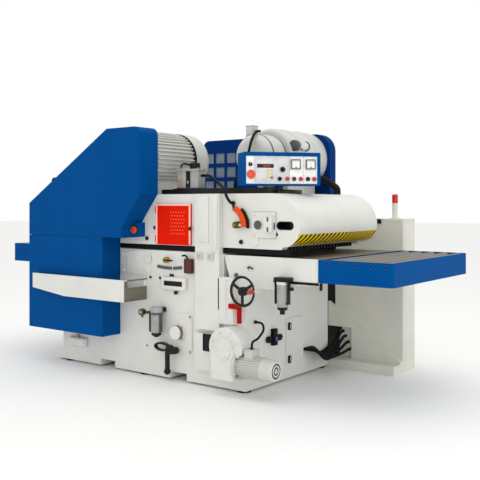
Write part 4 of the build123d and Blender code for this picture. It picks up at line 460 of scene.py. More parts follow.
def arc_band(centre, radii, angles, y, steps=24):
    """A curved bar spun in the XZ plane; angles run from +X towards +Z, in degrees."""
    deselect()
    bpy.ops.mesh.primitive_plane_add(size=1)
    piece = bpy.context.object
    middle = Vector((centre[0], sum(y) / 2, centre[1])) * MM
    width = Matrix.Diagonal(((radii[1] - radii[0]) * MM, (y[1] - y[0]) * MM, 1, 1))
    out = Matrix.Translation((sum(radii) / 2 * MM, 0, 0))
    turn = Matrix.Rotation(-radians(angles[0]), 4, "Y")
    piece.matrix_world = Matrix.Translation(middle) @ turn @ out @ width
    settle(piece)
    bpy.ops.object.mode_set(mode="EDIT")
    bpy.ops.mesh.select_all(action="SELECT")
    bpy.ops.mesh.spin(steps=steps, angle=radians(angles[1] - angles[0]), center=middle, axis=(0, 1, 0))
    bpy.ops.mesh.select_all(action="SELECT")
    if angles[1] - angles[0] == 360:
        # A full ring closes on itself, so its first section is merged with its last and taken out
        bpy.ops.mesh.remove_doubles(threshold=0.01 * MM)
        bpy.ops.mesh.select_all(action="DESELECT")
        bpy.ops.mesh.select_interior_faces()
        bpy.ops.mesh.delete(type="FACE")
        bpy.ops.mesh.select_all(action="SELECT")
    bpy.ops.mesh.normals_make_consistent(inside=False)
    end_edit()
    return piece


def tube(points, radius):
    """A round hose on a smooth line through control points, in millimetres, made a mesh."""
    line = bpy.data.curves.new("hose", "CURVE")
    line.dimensions = "3D"
    line.bevel_depth = radius * MM
    line.bevel_resolution = 4
    line.use_fill_caps = True
    spline = line.splines.new("NURBS")
    spline.points.add(len(points) - 1)
    for point, place in zip(spline.points, points):
        point.co = (*(Vector(place) * MM), 1)
    spline.order_u = 3
    spline.use_endpoint_u = True
    piece = bpy.data.objects.new("hose", line)
    bpy.context.collection.objects.link(piece)
    activate(piece)
    bpy.ops.object.convert(target="MESH")
    return bpy.context.object


def coat(piece, finish):
    """Give a piece its finish."""
    piece.data.materials.clear()
    piece.data.materials.append(FINISHES[finish])
    return piece


def merge(pieces):
    """Join pieces into one; each keeps its finish."""
    deselect()
    for piece in pieces:
        piece.select_set(True)
    bpy.context.view_layer.objects.active = pieces[0]
    if len(pieces) > 1:
        bpy.ops.object.join()
    return bpy.context.object


def repeat(piece, places):
    """Copy a piece to each place, an offset in millimetres or a matrix, and join the copies.

    Each copy has its own mesh.
    """
    copies = []
    for place in places:
        copy = piece.copy()
        copy.data = piece.data.copy()
        bpy.context.collection.objects.link(copy)
        copy.matrix_world = place if isinstance(place, Matrix) else Matrix.Translation(Vector(place) * MM)
        copies.append(copy)
    bpy.data.objects.remove(piece)
    for copy in copies:
        settle(copy)
    return merge(copies)


def row(piece, count, step):
    """Copy a piece along a straight row with a step in millimetres."""
    return repeat(piece, [Vector(step) * number for number in range(count)])


def bolts(places, axis, across=None):
    """Hex heads on washers at places on a face."""
    flats = across or bpy.context.scene.planer_sizes.bolt / MM
    washer = drum((0, 0, 0), axis, 2.4, flats * 0.8, 0.6, 24)
    head = drum(AXES[axis] * 2, axis, flats * 0.6, flats * 0.577, 1.2, 6)
    return repeat(merge([washer, head]), places)


def round_screws(places, axis, radius=8):
    """Low round heads at places on a sheet."""
    return repeat(drum((0, 0, 0), axis, 3, radius, 1.6, 20), places)


def ring_places(centre, radius, count, start=0.0, plane="XZ"):
    """Places round a circle; the centre is given in full."""
    found = []
    for number in range(count):
        angle = radians(start + 360 * number / count)
        a, b = radius * cos(angle), radius * sin(angle)
        step = {"XZ": (a, 0, b), "YZ": (0, a, b)}[plane]
        found.append(Vector(centre) + Vector(step))
    return found


def corner_places(left, right, bottom, top, inset, y):
    """Places near the four corners of an upright plate."""
    return [(x, y, z) for x in (left + inset, right - inset) for z in (bottom + inset, top - inset)]


def mushroom(x, y, z, stem):
    """A stop button that looks along -Y: domed cap with a dished top, on its stem, by finish."""
    cap = drum((x, y, z), "-Y", CAP_DEPTH, 26, 9, 48, 6)
    dish = hollow_front(drum((x, y - 11.6, z), "-Y", 5, 17, 1.5), "-Y", 3, 2)
    return {"orange_red_plastic": [cap, dish], "dark_grey_plastic": drum((x, y, z), "+Y", stem, 9)}


def fit(name, body, slot, replaces=None, place=None, **coats):
    """Join shapes, each given under its finish, into one piece that rides on its body.

    Where a place is given, the joined shapes are moved to it first.
    """
    shapes = []
    for finish, group in coats.items():
        for shape in group if isinstance(group, list) else [group]:
            shapes.append(coat(shape, finish))
    piece = merge(shapes)
    if place:
        piece.matrix_world = place
        settle(piece)
    piece.name = name
    piece.data.name = name
    activate(piece)
    bpy.ops.object.shade_smooth_by_angle(angle=radians(35))
    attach(piece, body)
    if replaces:
        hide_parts(replaces)


class PLANER_OT_finishes(bpy.types.Operator):
    """Make the finishes and give each node of the frame its own"""
    bl_idname = "planer.finishes"
    bl_label = "Finishes"

    def execute(self, context):
        make_finishes(context.scene.planer_colours, context.scene.planer_sizes)
        for finish, names in NODE_FINISHES.items():
            for name in names:
                coat_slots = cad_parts[name].material_slots
                if not coat_slots:
                    raise RuntimeError(f"{name} has no material slot")
                for slot in coat_slots:
                    slot.material = FINISHES[finish]
        return {"FINISHED"}


class PLANER_OT_stage(bpy.types.Operator):
    """Pale floor, soft lights and the camera"""
    bl_idname = "planer.stage"
    bl_label = "Stage"

    def execute(self, context):
        deselect()
        bpy.ops.mesh.primitive_plane_add(size=80, location=(0, 0, -0.0004))
        floor = context.object
        floor.name = "studio_floor"
        coat(settle(floor), "floor_vinyl")
        # Name, place, aim and size in metres, and power in watts
        lights = (
            ("top_softbox", (0.4, -0.6, 5.2), (0.1, -0.1, 0.8), 5.0, 56),
            ("front_softbox", (-2.4, -6.5, 3.2), (0.0, 0.0, 0.8), 4.5, 5),
            ("low_softbox", (4.6, -4.4, 0.9), (0.9, 0.1, 0.4), 3.0, 44),
            ("right_softbox", (6.5, 0.4, 1.1), (0.7, -0.1, 0.5), 3.0, 28),
        )
        for name, place, aim, size, power in lights:
            bpy.ops.object.light_add(type="AREA", location=place)
            lamp = context.object
            lamp.name = name
            lamp.data.size = size
            lamp.data.energy = power
            lamp.rotation_euler = (Vector(aim) - Vector(place)).to_track_quat("-Z", "Y").to_euler()
        world = bpy.data.worlds.new("studio")
        world.use_nodes = True
        sky = world.node_tree.nodes["Background"]
        sky.inputs["Color"].default_value = (1, 1, 1, 1)
        sky.inputs["Strength"].default_value = 1.0
        context.scene.world = world
        context.scene.view_settings.view_transform = "Standard"
        deselect()
        heading = radians(37.073)
        bpy.ops.object.camera_add(location=(3.491, -4.3706, 1.2), rotation=(radians(90), 0, heading))
        camera = context.object
        camera.data.sensor_width = 36
        camera.data.lens = 56.4
        camera.data.shift_x = 0.0008
        camera.data.shift_y = -0.07635
        context.scene.camera = camera
        return {"FINISHED"}


class PLANER_OT_guard_stop(bpy.types.Operator):
    """Stop button on the upper belt guard, with its collar"""
    bl_idname = "planer.guard_stop"
    bl_label = "Guard stop button"

    def execute(self, context):
        low, high = corners("guard_stop_button")
        stop = (low + high) / 2
        cap_back = low.y + CAP_DEPTH
        box_face = cap_back + PRESS_ROOM
        fit("guard_stop_mushroom", "guard_stop_button", "red_plastic", "guard_stop_button",
            **mushroom(stop.x, cap_back, stop.z, high.y - cap_back))
        collar = hollow_front(drum((stop.x, box_face, stop.z), "-Y", 3, 28, 1), "-Y", 5, 1.5)
        fit("guard_stop_collar", "head", "black_plastic", black_plastic=collar)
        return {"FINISHED"}


class PLANER_OT_guard_fixings(bpy.types.Operator):
    """Screws round the edges of both belt guards, and the latch on the upper one's slope"""
    bl_idname = "planer.guard_fixings"
    bl_label = "Guard fixings"

    def execute(self, context):
        low, high = corners("upper_belt_guard")
        screws = [(low.x + 21, z) for z in (1000, 1100, 1190)]
        screws += [(high.x - 17, z) for z in (1300, 1450, 1600)]
        screws += [(x, low.z + 17) for x in range(-1080, -359, 180)]
        upper = round_screws([(x, GUARD_FACE, z) for x, z in screws], "-Y")
        fit("upper_guard_screws", "head", "blue_paint", blue_powder_coat=upper)
        low, high = corners("lower_belt_guard")
        columns = (low.x + 21, -860, high.x - 22)
        lower = round_screws([(x, GUARD_FACE, z) for x in columns for z in (286, 500, 720, 940)], "-Y")
        fit("lower_guard_screws", "base", "blue_paint", blue_powder_coat=lower)
        latch = slab((-18, GUARD_FACE + 6, -1), (18, GUARD_FACE + 38, 20), 5, 3)
        latch_place, slope_rise, slope_run = Vector((-987, 0, 1369)), 517, 854
        slope = Matrix.Rotation(-atan2(slope_rise, slope_run), 4, "Y")
        fit("guard_latch", "head", "black_plastic", place=Matrix.Translation(latch_place * MM) @ slope,
            black_plastic=latch)
        return {"FINISHED"}


class PLANER_OT_tray(bpy.types.Operator):
    """Hems of the side tray, grey skins that paint the shade on its end, and the drain bracket under it"""
    bl_idname = "planer.tray"
    bl_label = "Tray"

    def execute(self, context):
        low, high = corners("side_tray")
        lip_z, hem_left = high.z - 50, -812
        hems = [
            drum((low.x, low.y + 2, high.z), "+X", high.x - low.x, 4, 1, 16),
            drum((high.x - 2, low.y + 2, high.z), "+Y", 30, 4, 1, 16),
            slab((hem_left, low.y, low.z - 2), (high.x, low.y + 14, low.z + 1)),
        ]
        # Grey skins over the tray's end and a rod across its notch paint the shade that lies there
        end_shade_skins = [
            slab((high.x, low.y + 4, low.z), (high.x + 1.5, NEAR - 4, lip_z), 0.4),
            slab((high.x, low.y + 4, lip_z), (high.x + 1.5, low.y + 34, high.z - 4), 0.4),
            drum((high.x - 2, low.y + 30, high.z - 2), "+Y", NEAR - low.y - 30, 5, 1, 16),
        ]
        fit("tray_hems_and_end_shade", "base", "white_paint", white_enamel=hems, zinc_plate=end_shade_skins)
        left, right, bottom, top = -972, -792, 126, 196
        foot = slab((left, NEAR - 29, bottom), (right, NEAR, top), 14, 4)
        lip = slab((left + 12, NEAR - 37, bottom + 24), (right - 12, NEAR - 29, top - 8), 5, 3)
        elbow = drum((left + 83, NEAR - 17, top), "+Z", 20, 11, 2, 12)
        fit("drain_bracket", "base", "white_paint", white_enamel=[foot, lip], brass=elbow)
        return {"FINISHED"}


class PLANER_OT_red_door(bpy.types.Operator):
    """Pale strips that paint the highlight on the folded edges, catches and knobs of the red door"""
    bl_idname = "planer.red_door"
    bl_label = "Red door"

    def execute(self, context):
        low, high = corners("red_door")
        left, right, bottom, top = -90, high.x, low.z + 4, high.z
        face = NEAR - 14
        edge = face - 2.5
        # Pale strips along the top, right and left edges paint the highlight that the folded edges catch
        edges = [
            slab((left, edge, top - 12), (right, face, top)),
            slab((right - 14, edge, bottom), (right, face, top - 12)),
            slab((left, edge, bottom), (left + 16, face, top - 12)),
        ]
        fit("door_edge_highlights", "red_door", "red_paint", pale_edge_enamel=edges)
        catch_z, half = 1032, 12
        catch = slab((right - 10, face - 12, catch_z - half), (right + 8, face, catch_z + half), 3, 3)
        button = drum((right - 1, face - 12, catch_z), "-Y", 4, 6, 1, 20)
        fit("door_catch", "red_door", "black_plastic", black_plastic=[catch, button])
        keeper = slab((left - 26, NEAR - 12, catch_z - half), (left - 8, NEAR, catch_z + half), 3, 3)
        knob = hollow_front(drum((0, NEAR, 0), "-Y", 12, 14, 3, 32, 3), "-Y", 4, 2)
        knobs = repeat(knob, [(-182, 0, 957), (638, 0, 956)])
        fit("plate_knobs", "head", "black_plastic", black_plastic=[keeper, knobs])
        return {"FINISHED"}


class PLANER_OT_columns(bpy.types.Operator):
    """Pads and lugs on the near columns"""
    bl_idname = "planer.columns"
    bl_label = "Columns"

    def execute(self, context):
        pads = [slab((left, COLUMN_FACE - 7, bottom), (right, COLUMN_FACE, 1250), 3)
                for left, right, bottom in ((310, 404, 948), (434, 476, 892))]
        fit("column_pads", "head", "white_paint", white_enamel=pads)
        lug = hollow_front(slab((308, COLUMN_FACE - 12, 834), (354, COLUMN_FACE, 880), 3), "-Y", 9, 7)
        fit("column_lugs", "base", "white_paint", motor_enamel=row(lug, 2, (90, 0, 0)))
        return {"FINISHED"}


class PLANER_OT_bearing_plate(bpy.types.Operator):
    """Bolts, disc and cap of the infeed roller's bearing plate, with a grey outline and dark slot marks that
    paint shade
    """
    bl_idname = "planer.bearing_plate"
    bl_label = "Bearing plate"

    def execute(self, context):
        left, right, bottom, top = 725, 905, 983, 1149
        middle, face = (bottom + top) / 2, NEAR - 8
        # A grey outline just behind the plate paints the shade along its edges
        edge_shade_outline = slab((left, NEAR - 3, bottom), (right, NEAR - 0.5, top), 1)
        screws = bolts(corner_places(left, right, bottom, top, 17, face), "-Y")
        slot_x, slot_y = left + 128, NEAR - 32
        # Dark slabs for the slots and the slit by the grip paint the shade inside them
        slot = slab((slot_x, slot_y, middle - 40), (slot_x + 12, slot_y + 2, middle - 12), 1)
        slots = row(slot, 2, (0, 0, 62))
        slit_shade_mark = slab((right - 13, face - 4, middle - 26), (right - 5, face, middle + 14), 1)
        disc = hollow_front(drum((left + 52, NEAR - 17, middle), "-Y", 4, 28, 1), "-Y", 5, 2)
        journal = middle_of("infeed_roller")
        cap = drum((journal.x, NEAR, journal.z), "-Y", 4, 34, 1.5)
        fit("bearing_plate_fittings", "head", "ground_steel", grey_plastic=edge_shade_outline, white_enamel=[screws, cap],
            dark_grey_plastic=[slots, slit_shade_mark, disc])
        return {"FINISHED"}


class PLANER_OT_brake(bpy.types.Operator):
    """Brake quadrant, the lever that swings along it and the gland of its hose"""
    bl_idname = "planer.brake"
    bl_label = "Brake"

    def execute(self, context):
        arc = (548, 1052)
        hub_x, hub_z = 621, 1064
        quadrant = round_edges(arc_band(arc, (142, 160), (-3, 48), (NEAR - 22, NEAR - 8)), 2)
        stand = slab((684, NEAR - 9, 1062), (700, NEAR, 1100), 2)
        fit("brake_quadrant", "head", "black_plastic", black_plastic=[quadrant, stand])
        handle = round_edges(arc_band(arc, (113, 149), (0, 64), (NEAR - 40, NEAR - 24)), 5, 3)
        arm = slab((hub_x, NEAR - 38, hub_z - 9), (hub_x + 59, NEAR - 26, hub_z + 9), 3)
        hub = drum((hub_x, NEAR - 0.4, hub_z), "-Y", 48, 22, 4, 40, 3)
        nut = drum((hub_x, NEAR - 48, hub_z), "-Y", 7, 10, 1.5, 6)
        fit("brake_lever_set", "brake_lever", "orange_paint", "brake_lever",
            orange_enamel=handle, motor_enamel=arm, dark_brass=hub, brass=nut)
        gland = drum((578, NEAR, 1202), "-Y", 20, 14, 2, 6)
        ferrule = tube([(578, NEAR - 12, 1204), (580, NEAR - 11, 1184), (588, NEAR - 10, 1152)], 8)
        fit("lever_hose_gland", "head", "black_plastic", black_plastic=[gland, ferrule])
        return {"FINISHED"}


class PLANER_OT_head_trim(bpy.types.Operator):
    """Curtains under the head, black lining and back panel that paint the shade inside the grip slot, and
    plates on the head's top
    """
    bl_idname = "planer.head_trim"
    bl_label = "Head trim"

    def execute(self, context):
        runs = ((-676, 284, NEAR + 7, 881), (492, 1000, NEAR + 7, 881),
                (-676, 284, FAR - 13, 881), (492, 744, FAR - 13, 878))
        curtains = [slab((left, y, bottom), (right, y + 6, 918), 1) for left, right, y, bottom in runs]
        fit("side_curtains", "head", "black_rubber", black_rubber=curtains)
        # Black lining round the grip slot and a panel far behind it paint the shade inside the slot
        left, right, z = 934, 1004, 1064
        radii, y = (20, 26), (NEAR - 3, NEAR + 64)
        rim = row(slab((left, y[0], z - 26), (right, y[1], z - 20)), 2, (0, 0, 46))
        ends = [arc_band((left, z), radii, (90, 270), y), arc_band((right, z), radii, (-90, 90), y)]
        back = slab((left - 34, NEAR + 63, z - 34), (right + 36, NEAR + 69, z + 34))
        fit("grip_slot_shade", "head", "black_plastic", black_plastic=[rim, *ends, back])
        base_plate = slab((560, -393, HEAD_TOP), (846, -190, HEAD_TOP + 26), 4)
        rail = corners("control_post")[0]
        sole = slab((rail.x - 104, rail.y, HEAD_TOP), (rail.x, rail.y + 60, HEAD_TOP + 34), 3)
        fit("control_base_plate", "head", "black_plastic", black_plastic=[base_plate, sole])
        return {"FINISHED"}


class PLANER_OT_hazard_band(bpy.types.Operator):
    """Striped film on the hood's lip"""
    bl_idname = "planer.hazard_band"
    bl_label = "Hazard band"

    def execute(self, context):
        lip_centre, lip_radius = (954, 1050), 118
        film = (lip_radius + 0.1, lip_radius + 1)
        band = arc_band(lip_centre, film, (-62, -19), (NEAR + 3, FAR - 3), 20)
        fit("hazard_band", "head", "white_paint", hazard_film=band)
        return {"FINISHED"}


class PLANER_OT_control_panel(bpy.types.Operator):
    """Panel film, display, meters, knob, stop button and collars on the control box"""
    bl_idname = "planer.control_panel"
    bl_label = "Control panel"

    def execute(self, context):
        # Shapes are made about the middle of the box's front, then turned with it
        turn = radians(50)
        front = middle_of("control_box") + Vector((sin(turn), -cos(turn), 0)) * 75
        onto_box = Matrix.Translation(front * MM) @ Matrix.Rotation(turn, 4, "Z")
        film_face = 4.6
        film = slab((-233, film_face, -94), (233, 6, 80))
        grey = slab((-184, 4.0, -91), (48, film_face, 77))
        lines = row(slab((49, 3.6, -92), (51, film_face, 78)), 2, (92, 0, 0))
        fit("panel_film", "control_box", "grey_plastic", place=onto_box,
            white_panel_film=film, pale_grey_plastic=grey, grey_plastic=lines)

        unit = hollow_front(slab((-173, 0, -72), (-51, 4.2, 61), 1.5), "-Y", 5, 1)
        bar = slab((-163, -0.6, 6), (-55, 2, 30))
        digits = row(slab((-122, -1.0, 12), (-113, -0.4, 24)), 4, (12, 0, 0))
        first, second, third = -64, -42, -20
        keys = {
            "peach_key_film": [(-160, z) for z in (first, second, third)],
            "pale_grey_plastic": [(-132, z) for z in (first, second, third)],
            "amber_key_film": [(-104, z) for z in (first, second, third)] + [(-78, second), (-78, third)],
            "brown_key_film": [(-78, first)],
        }
        coats = {tint: [repeat(slab((0, -0.4, 0), (20, 2, 16), 1), [(x, 0, z) for x, z in places])]
                 for tint, places in keys.items()}
        coats["pale_grey_plastic"].append(unit)
        fit("display_unit", "control_box", "grey_plastic", place=onto_box, black_plastic=bar,
            red_plastic=digits, **coats)

        left, apart = 56, 99
        case = hollow_front(slab((left, -8, -2), (left + 66, film_face, 62), 2), "-Y", 6, 3)
        face = slab((left + 6, -5.4, 4), (left + 60, -4.6, 56), 0.2)
        ticks = row(slab((left + 14, -5.8, 44), (left + 15.6, -5.2, 50), 0.2), 5, (9, 0, 0))
        pivot = drum((left + 33, -5.4, 10), "-Y", 2, 4, 0.5, 16)
        needle = slab((left + 32.3, -6.2, 10), (left + 33.9, -5.6, 42), 0.2)
        marks = merge([ticks, pivot, needle])
        fit("meters", "control_box", "grey_plastic", place=onto_box,
            meter_grey_plastic=row(case, 2, (apart, 0, 0)), white_panel_film=row(face, 2, (apart, 0, 0)),
            black_plastic=row(marks, 2, (apart, 0, 0)))

        depth = (2, film_face)
        ring = round_edges(arc_band((0, -63), (13.4, 16), (0, 360), depth, 32), 0.6)
        rings = repeat(ring, [(x, 0, 0) for x in (-16, 34, 79, 123, 170, 213)])
        stop_ring = round_edges(arc_band((-202, -36), (27.4, 31), (0, 360), depth, 40), 0.6)
        dial = hollow_front(drum((3, film_face, -4), "-Y", 2.6, 20, 0.8), "-Y", 4, 1)
        knob = drum((-207, film_face, 28), "-Y", 12, 13, 2, 24)
        mark = slab((-208, -8.4, 28), (-206, -7.2, 40), 0.3)
        fit("panel_collars", "control_box", "dark_plastic", place=onto_box, grey_plastic=dial,
            pale_grey_plastic=[rings, stop_ring], black_plastic=knob, white_panel_film=mark)
        fit("panel_stop_mushroom", "panel_stop_button", "red_plastic", "panel_stop_button", onto_box,
            **mushroom(-202, 1.6, -36, 16))
        return {"FINISHED"}


class PLANER_OT_lubricator(bpy.types.Operator):
    """Lubricator with clear reservoir, valve, pump and feed tube"""
    bl_idname = "planer.lubricator"
    bl_label = "Lubricator"

    def execute(self, context):
        low, high = corners("lubricator")
        left, bottom = low.x + 6, low.z
        near, far = low.y + 6, high.y - 6
        middle = (near + far) / 2
        plate = bottom + 120
        pump = left + 132
        reservoir = slab((left, near, bottom + 2), (left + 78, far, plate), 8, 4)
        oil = slab((left + 5, near + 5, bottom + 6), (left + 73, far - 5, bottom + 68), 6, 3)
        valve = slab((left + 84, near + 4, bottom), (left + 116, far - 4, plate), 3)
        spindle = drum((left + 100, near + 4, bottom + 44), "-Y", 8, 12, 2, 24)
        case = hollow_front(slab((left + 122, near, bottom), (left + 190, far, plate), 4, 3), "-Y", 8, 2)
        lid = slab((low.x, low.y, plate), (high.x, high.y, plate + 14), 3, 3)
        sole = slab((left - 4, near - 2, bottom), (left + 194, far + 2, bottom + 6), 2)
        discs = row(drum((pump, middle, plate + 14), "+Z", 12, 36, 3, 40, 3), 3, (0, 0, 14))
        core = drum((pump, middle, plate + 20), "+Z", 36, 30, 3)
        route = ((102, 42), (76, 50), (40, 54), (22, 42), (20, 14))
        feed = [(left + x, middle - 17, plate + z) for x, z in route]
        nut = drum(feed[-1], "+Z", 10, 9, 1.5, 6)
        lid_corners = [(left + x, y, plate + 14) for x in (6, 184) for y in (near + 7, far - 7)]
        fit("lubricator_set", "head", "grey_plastic", "lubricator", clear_reservoir=reservoir, amber_oil=oil,
            black_plastic=[valve, discs, core], turned_steel=[spindle, bolts(lid_corners, "+Z", 10)],
            grey_plastic=[case, lid], dark_grey_plastic=sole, black_rubber=tube(feed, 6), brass=nut)
        return {"FINISHED"}


class PLANER_OT_head_motors(bpy.types.Operator):
    """Rings, lids and a capacitor on the two motors of the head, and the rear guard's mesh"""
    bl_idname = "planer.head_motors"
    bl_label = "Head motors"

    def execute(self, context):
        axis = middle_of("upper_rotor")
        end = corners("upper_motor")[1].y
        gap = arc_band((axis.x, axis.z), (196, 206.4), (0, 360), (-178, -156), 72)
        face = drum((axis.x, end, axis.z), "+Y", 3, 120, 1, 64)
        rings = [hoop((axis.x, end + 3, axis.z), "+Y", radius, 3) for radius in (36, 62, 88, 114)]
        fit("upper_motor_fan", "head", "motor_paint",
            black_rubber=gap, black_plastic=face, motor_enamel=rings)
        low, high = corners("rear_motor")
        centre, barrel = ((low.x + high.x) / 2, 1520), (high.x - low.x) / 2
        bands = [arc_band(centre, (barrel - 1, barrel + 2), (0, 360), y, 72) for y in ((64, 74), (250, 262))]
        seams = [arc_band(centre, (150, 155.6), (0, 360), y, 72) for y in ((-214, -203), (-70, -56))]
        box_left, box_right, box_near, box_far = 373, 442, -180, -112
        lid = slab((box_left, box_near, high.z), (box_right, box_far, high.z + 6), 2)
        door = slab((box_left + 10, box_near - 2, high.z - 62), (box_right - 10, box_near + 4, high.z - 8), 3)
        turn, out = radians(21), 216
        x, z = centre[0] + out * cos(turn), centre[1] + out * sin(turn)
        can = drum((x, 0, z), "+Y", 110, 33, 5, 40, 3)
        rims = [drum((x, -42, z), "+Y", 42, 38, 5, 40, 3), drum((x, 108, z), "+Y", 14, 36, 4)]
        fit("rear_motor_fittings", "head", "motor_paint", motor_enamel=[*bands, lid, door],
            polished_chrome=can, dark_grey_plastic=[*rims, *seams])
        low = corners("rear_guard")[0] + Vector((11, 7, 30))
        mesh = slab(low, low + Vector((326, 4, 320)), 0.5)
        fit("rear_guard_mesh", "head", "blue_paint", grey_wire_mesh=mesh)
        return {"FINISHED"}


class PLANER_OT_feed_drive(bpy.types.Operator):
    """Bolts, fan rings and lid of the feed motor, and the bolts of its gear case"""
    bl_idname = "planer.feed_drive"
    bl_label = "Feed drive"

    def execute(self, context):
        low, high = corners("feed_motor")
        y, z = FEED_Y, FEED_Z
        flange = bolts(ring_places((low.x + 20, y, z), 80, 4, 45, "YZ"), "+X")
        disc = drum((high.x, y, z), "+X", 1.5, 55, 0.4, 48)
        rings = [hoop((high.x + 1, y, z), "+X", radius, 4.2) for radius in (10, 31, 52)]
        lid = slab((FEED_LID_X - 36, y - 39, high.z), (FEED_LID_X + 36, y + 39, high.z + 6), 2)
        fit("feed_motor_fittings", "base", "motor_paint", turned_steel=flange, dark_grey_plastic=disc,
            white_enamel=rings, motor_enamel=lid)
        x, z, case_face, cap_face = 600, 300, -695, -727
        case = bolts(ring_places((x, case_face, z), 108, 8, 22.5), "-Y")
        cap = bolts(ring_places((x, cap_face, z), 48, 6), "-Y", 11)
        fit("gear_case_bolts", "base", "ground_steel", white_enamel=[case, cap])
        return {"FINISHED"}


class PLANER_OT_instruments(bpy.types.Operator):
    """Readout, switch, dial and scale on the near side"""
    bl_idname = "planer.instruments"
    bl_label = "Instruments"

    def execute(self, context):
        left, right, bottom, top, rim = -30, 187, 616, 702, 22
        readout = hollow_front(slab((left, NEAR - 26, bottom), (right, NEAR, top), 6, 3), "-Y", 20, 4)
        window = slab((left + rim, NEAR - 25, bottom + rim), (right - rim, NEAR - 21, top - rim), 1)
        knob = drum((96, NEAR - 8, 598), "-Y", 17, 12, 2, 24)
        switch = hollow_front(slab((180, NEAR - 34, 734), (246, NEAR, 832), 8, 4), "-Y", 8, 2)
        bend = enumerate(((214, 826), (206, 850), (186, 856), (170, 850)))
        lever = tube([(x, NEAR - 28 - 2 * number, z) for number, (x, z) in bend], 6)
        dial = hollow_front(drum((10, NEAR, 815), "-Y", 32, 20, 3, 32, 3), "-Y", 6, 3)
        pointer = slab((4, NEAR - 39, 809), (84, NEAR - 31, 820), 3, 3)
        scale = round_edges(arc_band((28, 1466), (696, 716), (261, 279), (NEAR - 8, NEAR)), 1)
        mark = slab((60, NEAR - 10, 746), (64, NEAR - 8, 780), 0.5)
        places = ((-149, 688), (-59, 688), (38, 713), (58, 713))
        plugs = repeat(drum((0, NEAR, 0), "-Y", 8, 9, 2, 20), [(x, 0, z) for x, z in places])
        fit("near_side_instruments", "base", "grey_plastic", "side_instruments", white_enamel=readout,
            maroon_plastic=switch, black_rubber=lever, brass=dial, dark_grey_plastic=scale,
            white_panel_film=mark, black_plastic=[window, knob, pointer, plugs])
        return {"FINISHED"}


class PLANER_OT_bed_fittings(bpy.types.Operator):
    """Side plate, cover screws, hook, cap and seal on the near side of the beds"""
    bl_idname = "planer.bed_fittings"
    bl_label = "Bed fittings"

    def execute(self, context):
        left, right, bottom, top, face = -440, -152, 700, 866, NEAR - 6
        plate = slab((left, face, bottom), (right, NEAR, top), 3)
        cover = hollow_front(drum((right - 19, face, top - 50), "-Y", 10, 32, 2, 48), "-Y", 6, 3)
        slot = slab((left + 56, face - 1, bottom + 52), (left + 63, face + 1, bottom + 70), 0.5)
        slots = row(slot, 3, (0, 0, 24))
        screws = bolts(corner_places(left, right, bottom, top, 24, face), "-Y", 12)
        fit("bed_side_plate", "base", "white_paint", white_enamel=[plate, cover, screws], grey_plastic=slots)
        low, high = corners("access_cover")
        places = [(x, NEAR - 8, z) for x in (low.x + 15, high.x - 15) for z in (low.z + 22, high.z - 16)]
        corner_screws = bolts(places, "-Y", 12)
        boss_x, boss_z = 118, 334
        boss_screws = bolts(ring_places((boss_x, NEAR - 20, boss_z), 54, 4, 45), "-Y", 9)
        # A grey band round the boss's side paints the shade on it
        side = arc_band((boss_x, boss_z), (47.4, 48.6), (0, 360), (low.y + 6, low.y + 33), 64)
        fit("access_cover_screws_and_boss_shade", "base", "ground_steel", grey_plastic=[corner_screws, boss_screws],
            zinc_plate=side)
        left, right, z = 696, 728, 792
        route = ((left, 0, z), (left, 13, z), (left + 6, 17, z + 12), (right - 8, 17, z + 12),
                 (right, 13, z), (right, 0, z))
        hook = tube([(x, NEAR - out, height) for x, out, height in route], 4)
        cap = drum((599, NEAR, 744), "-Y", 9, 15, 2, 24)
        seal = slab((884, NEAR - 5, 716), (1206, NEAR, 731), 2)
        fit("bed_clip", "infeed_unit", "black_plastic", black_rubber=[hook, seal], dark_grey_plastic=cap)
        return {"FINISHED"}


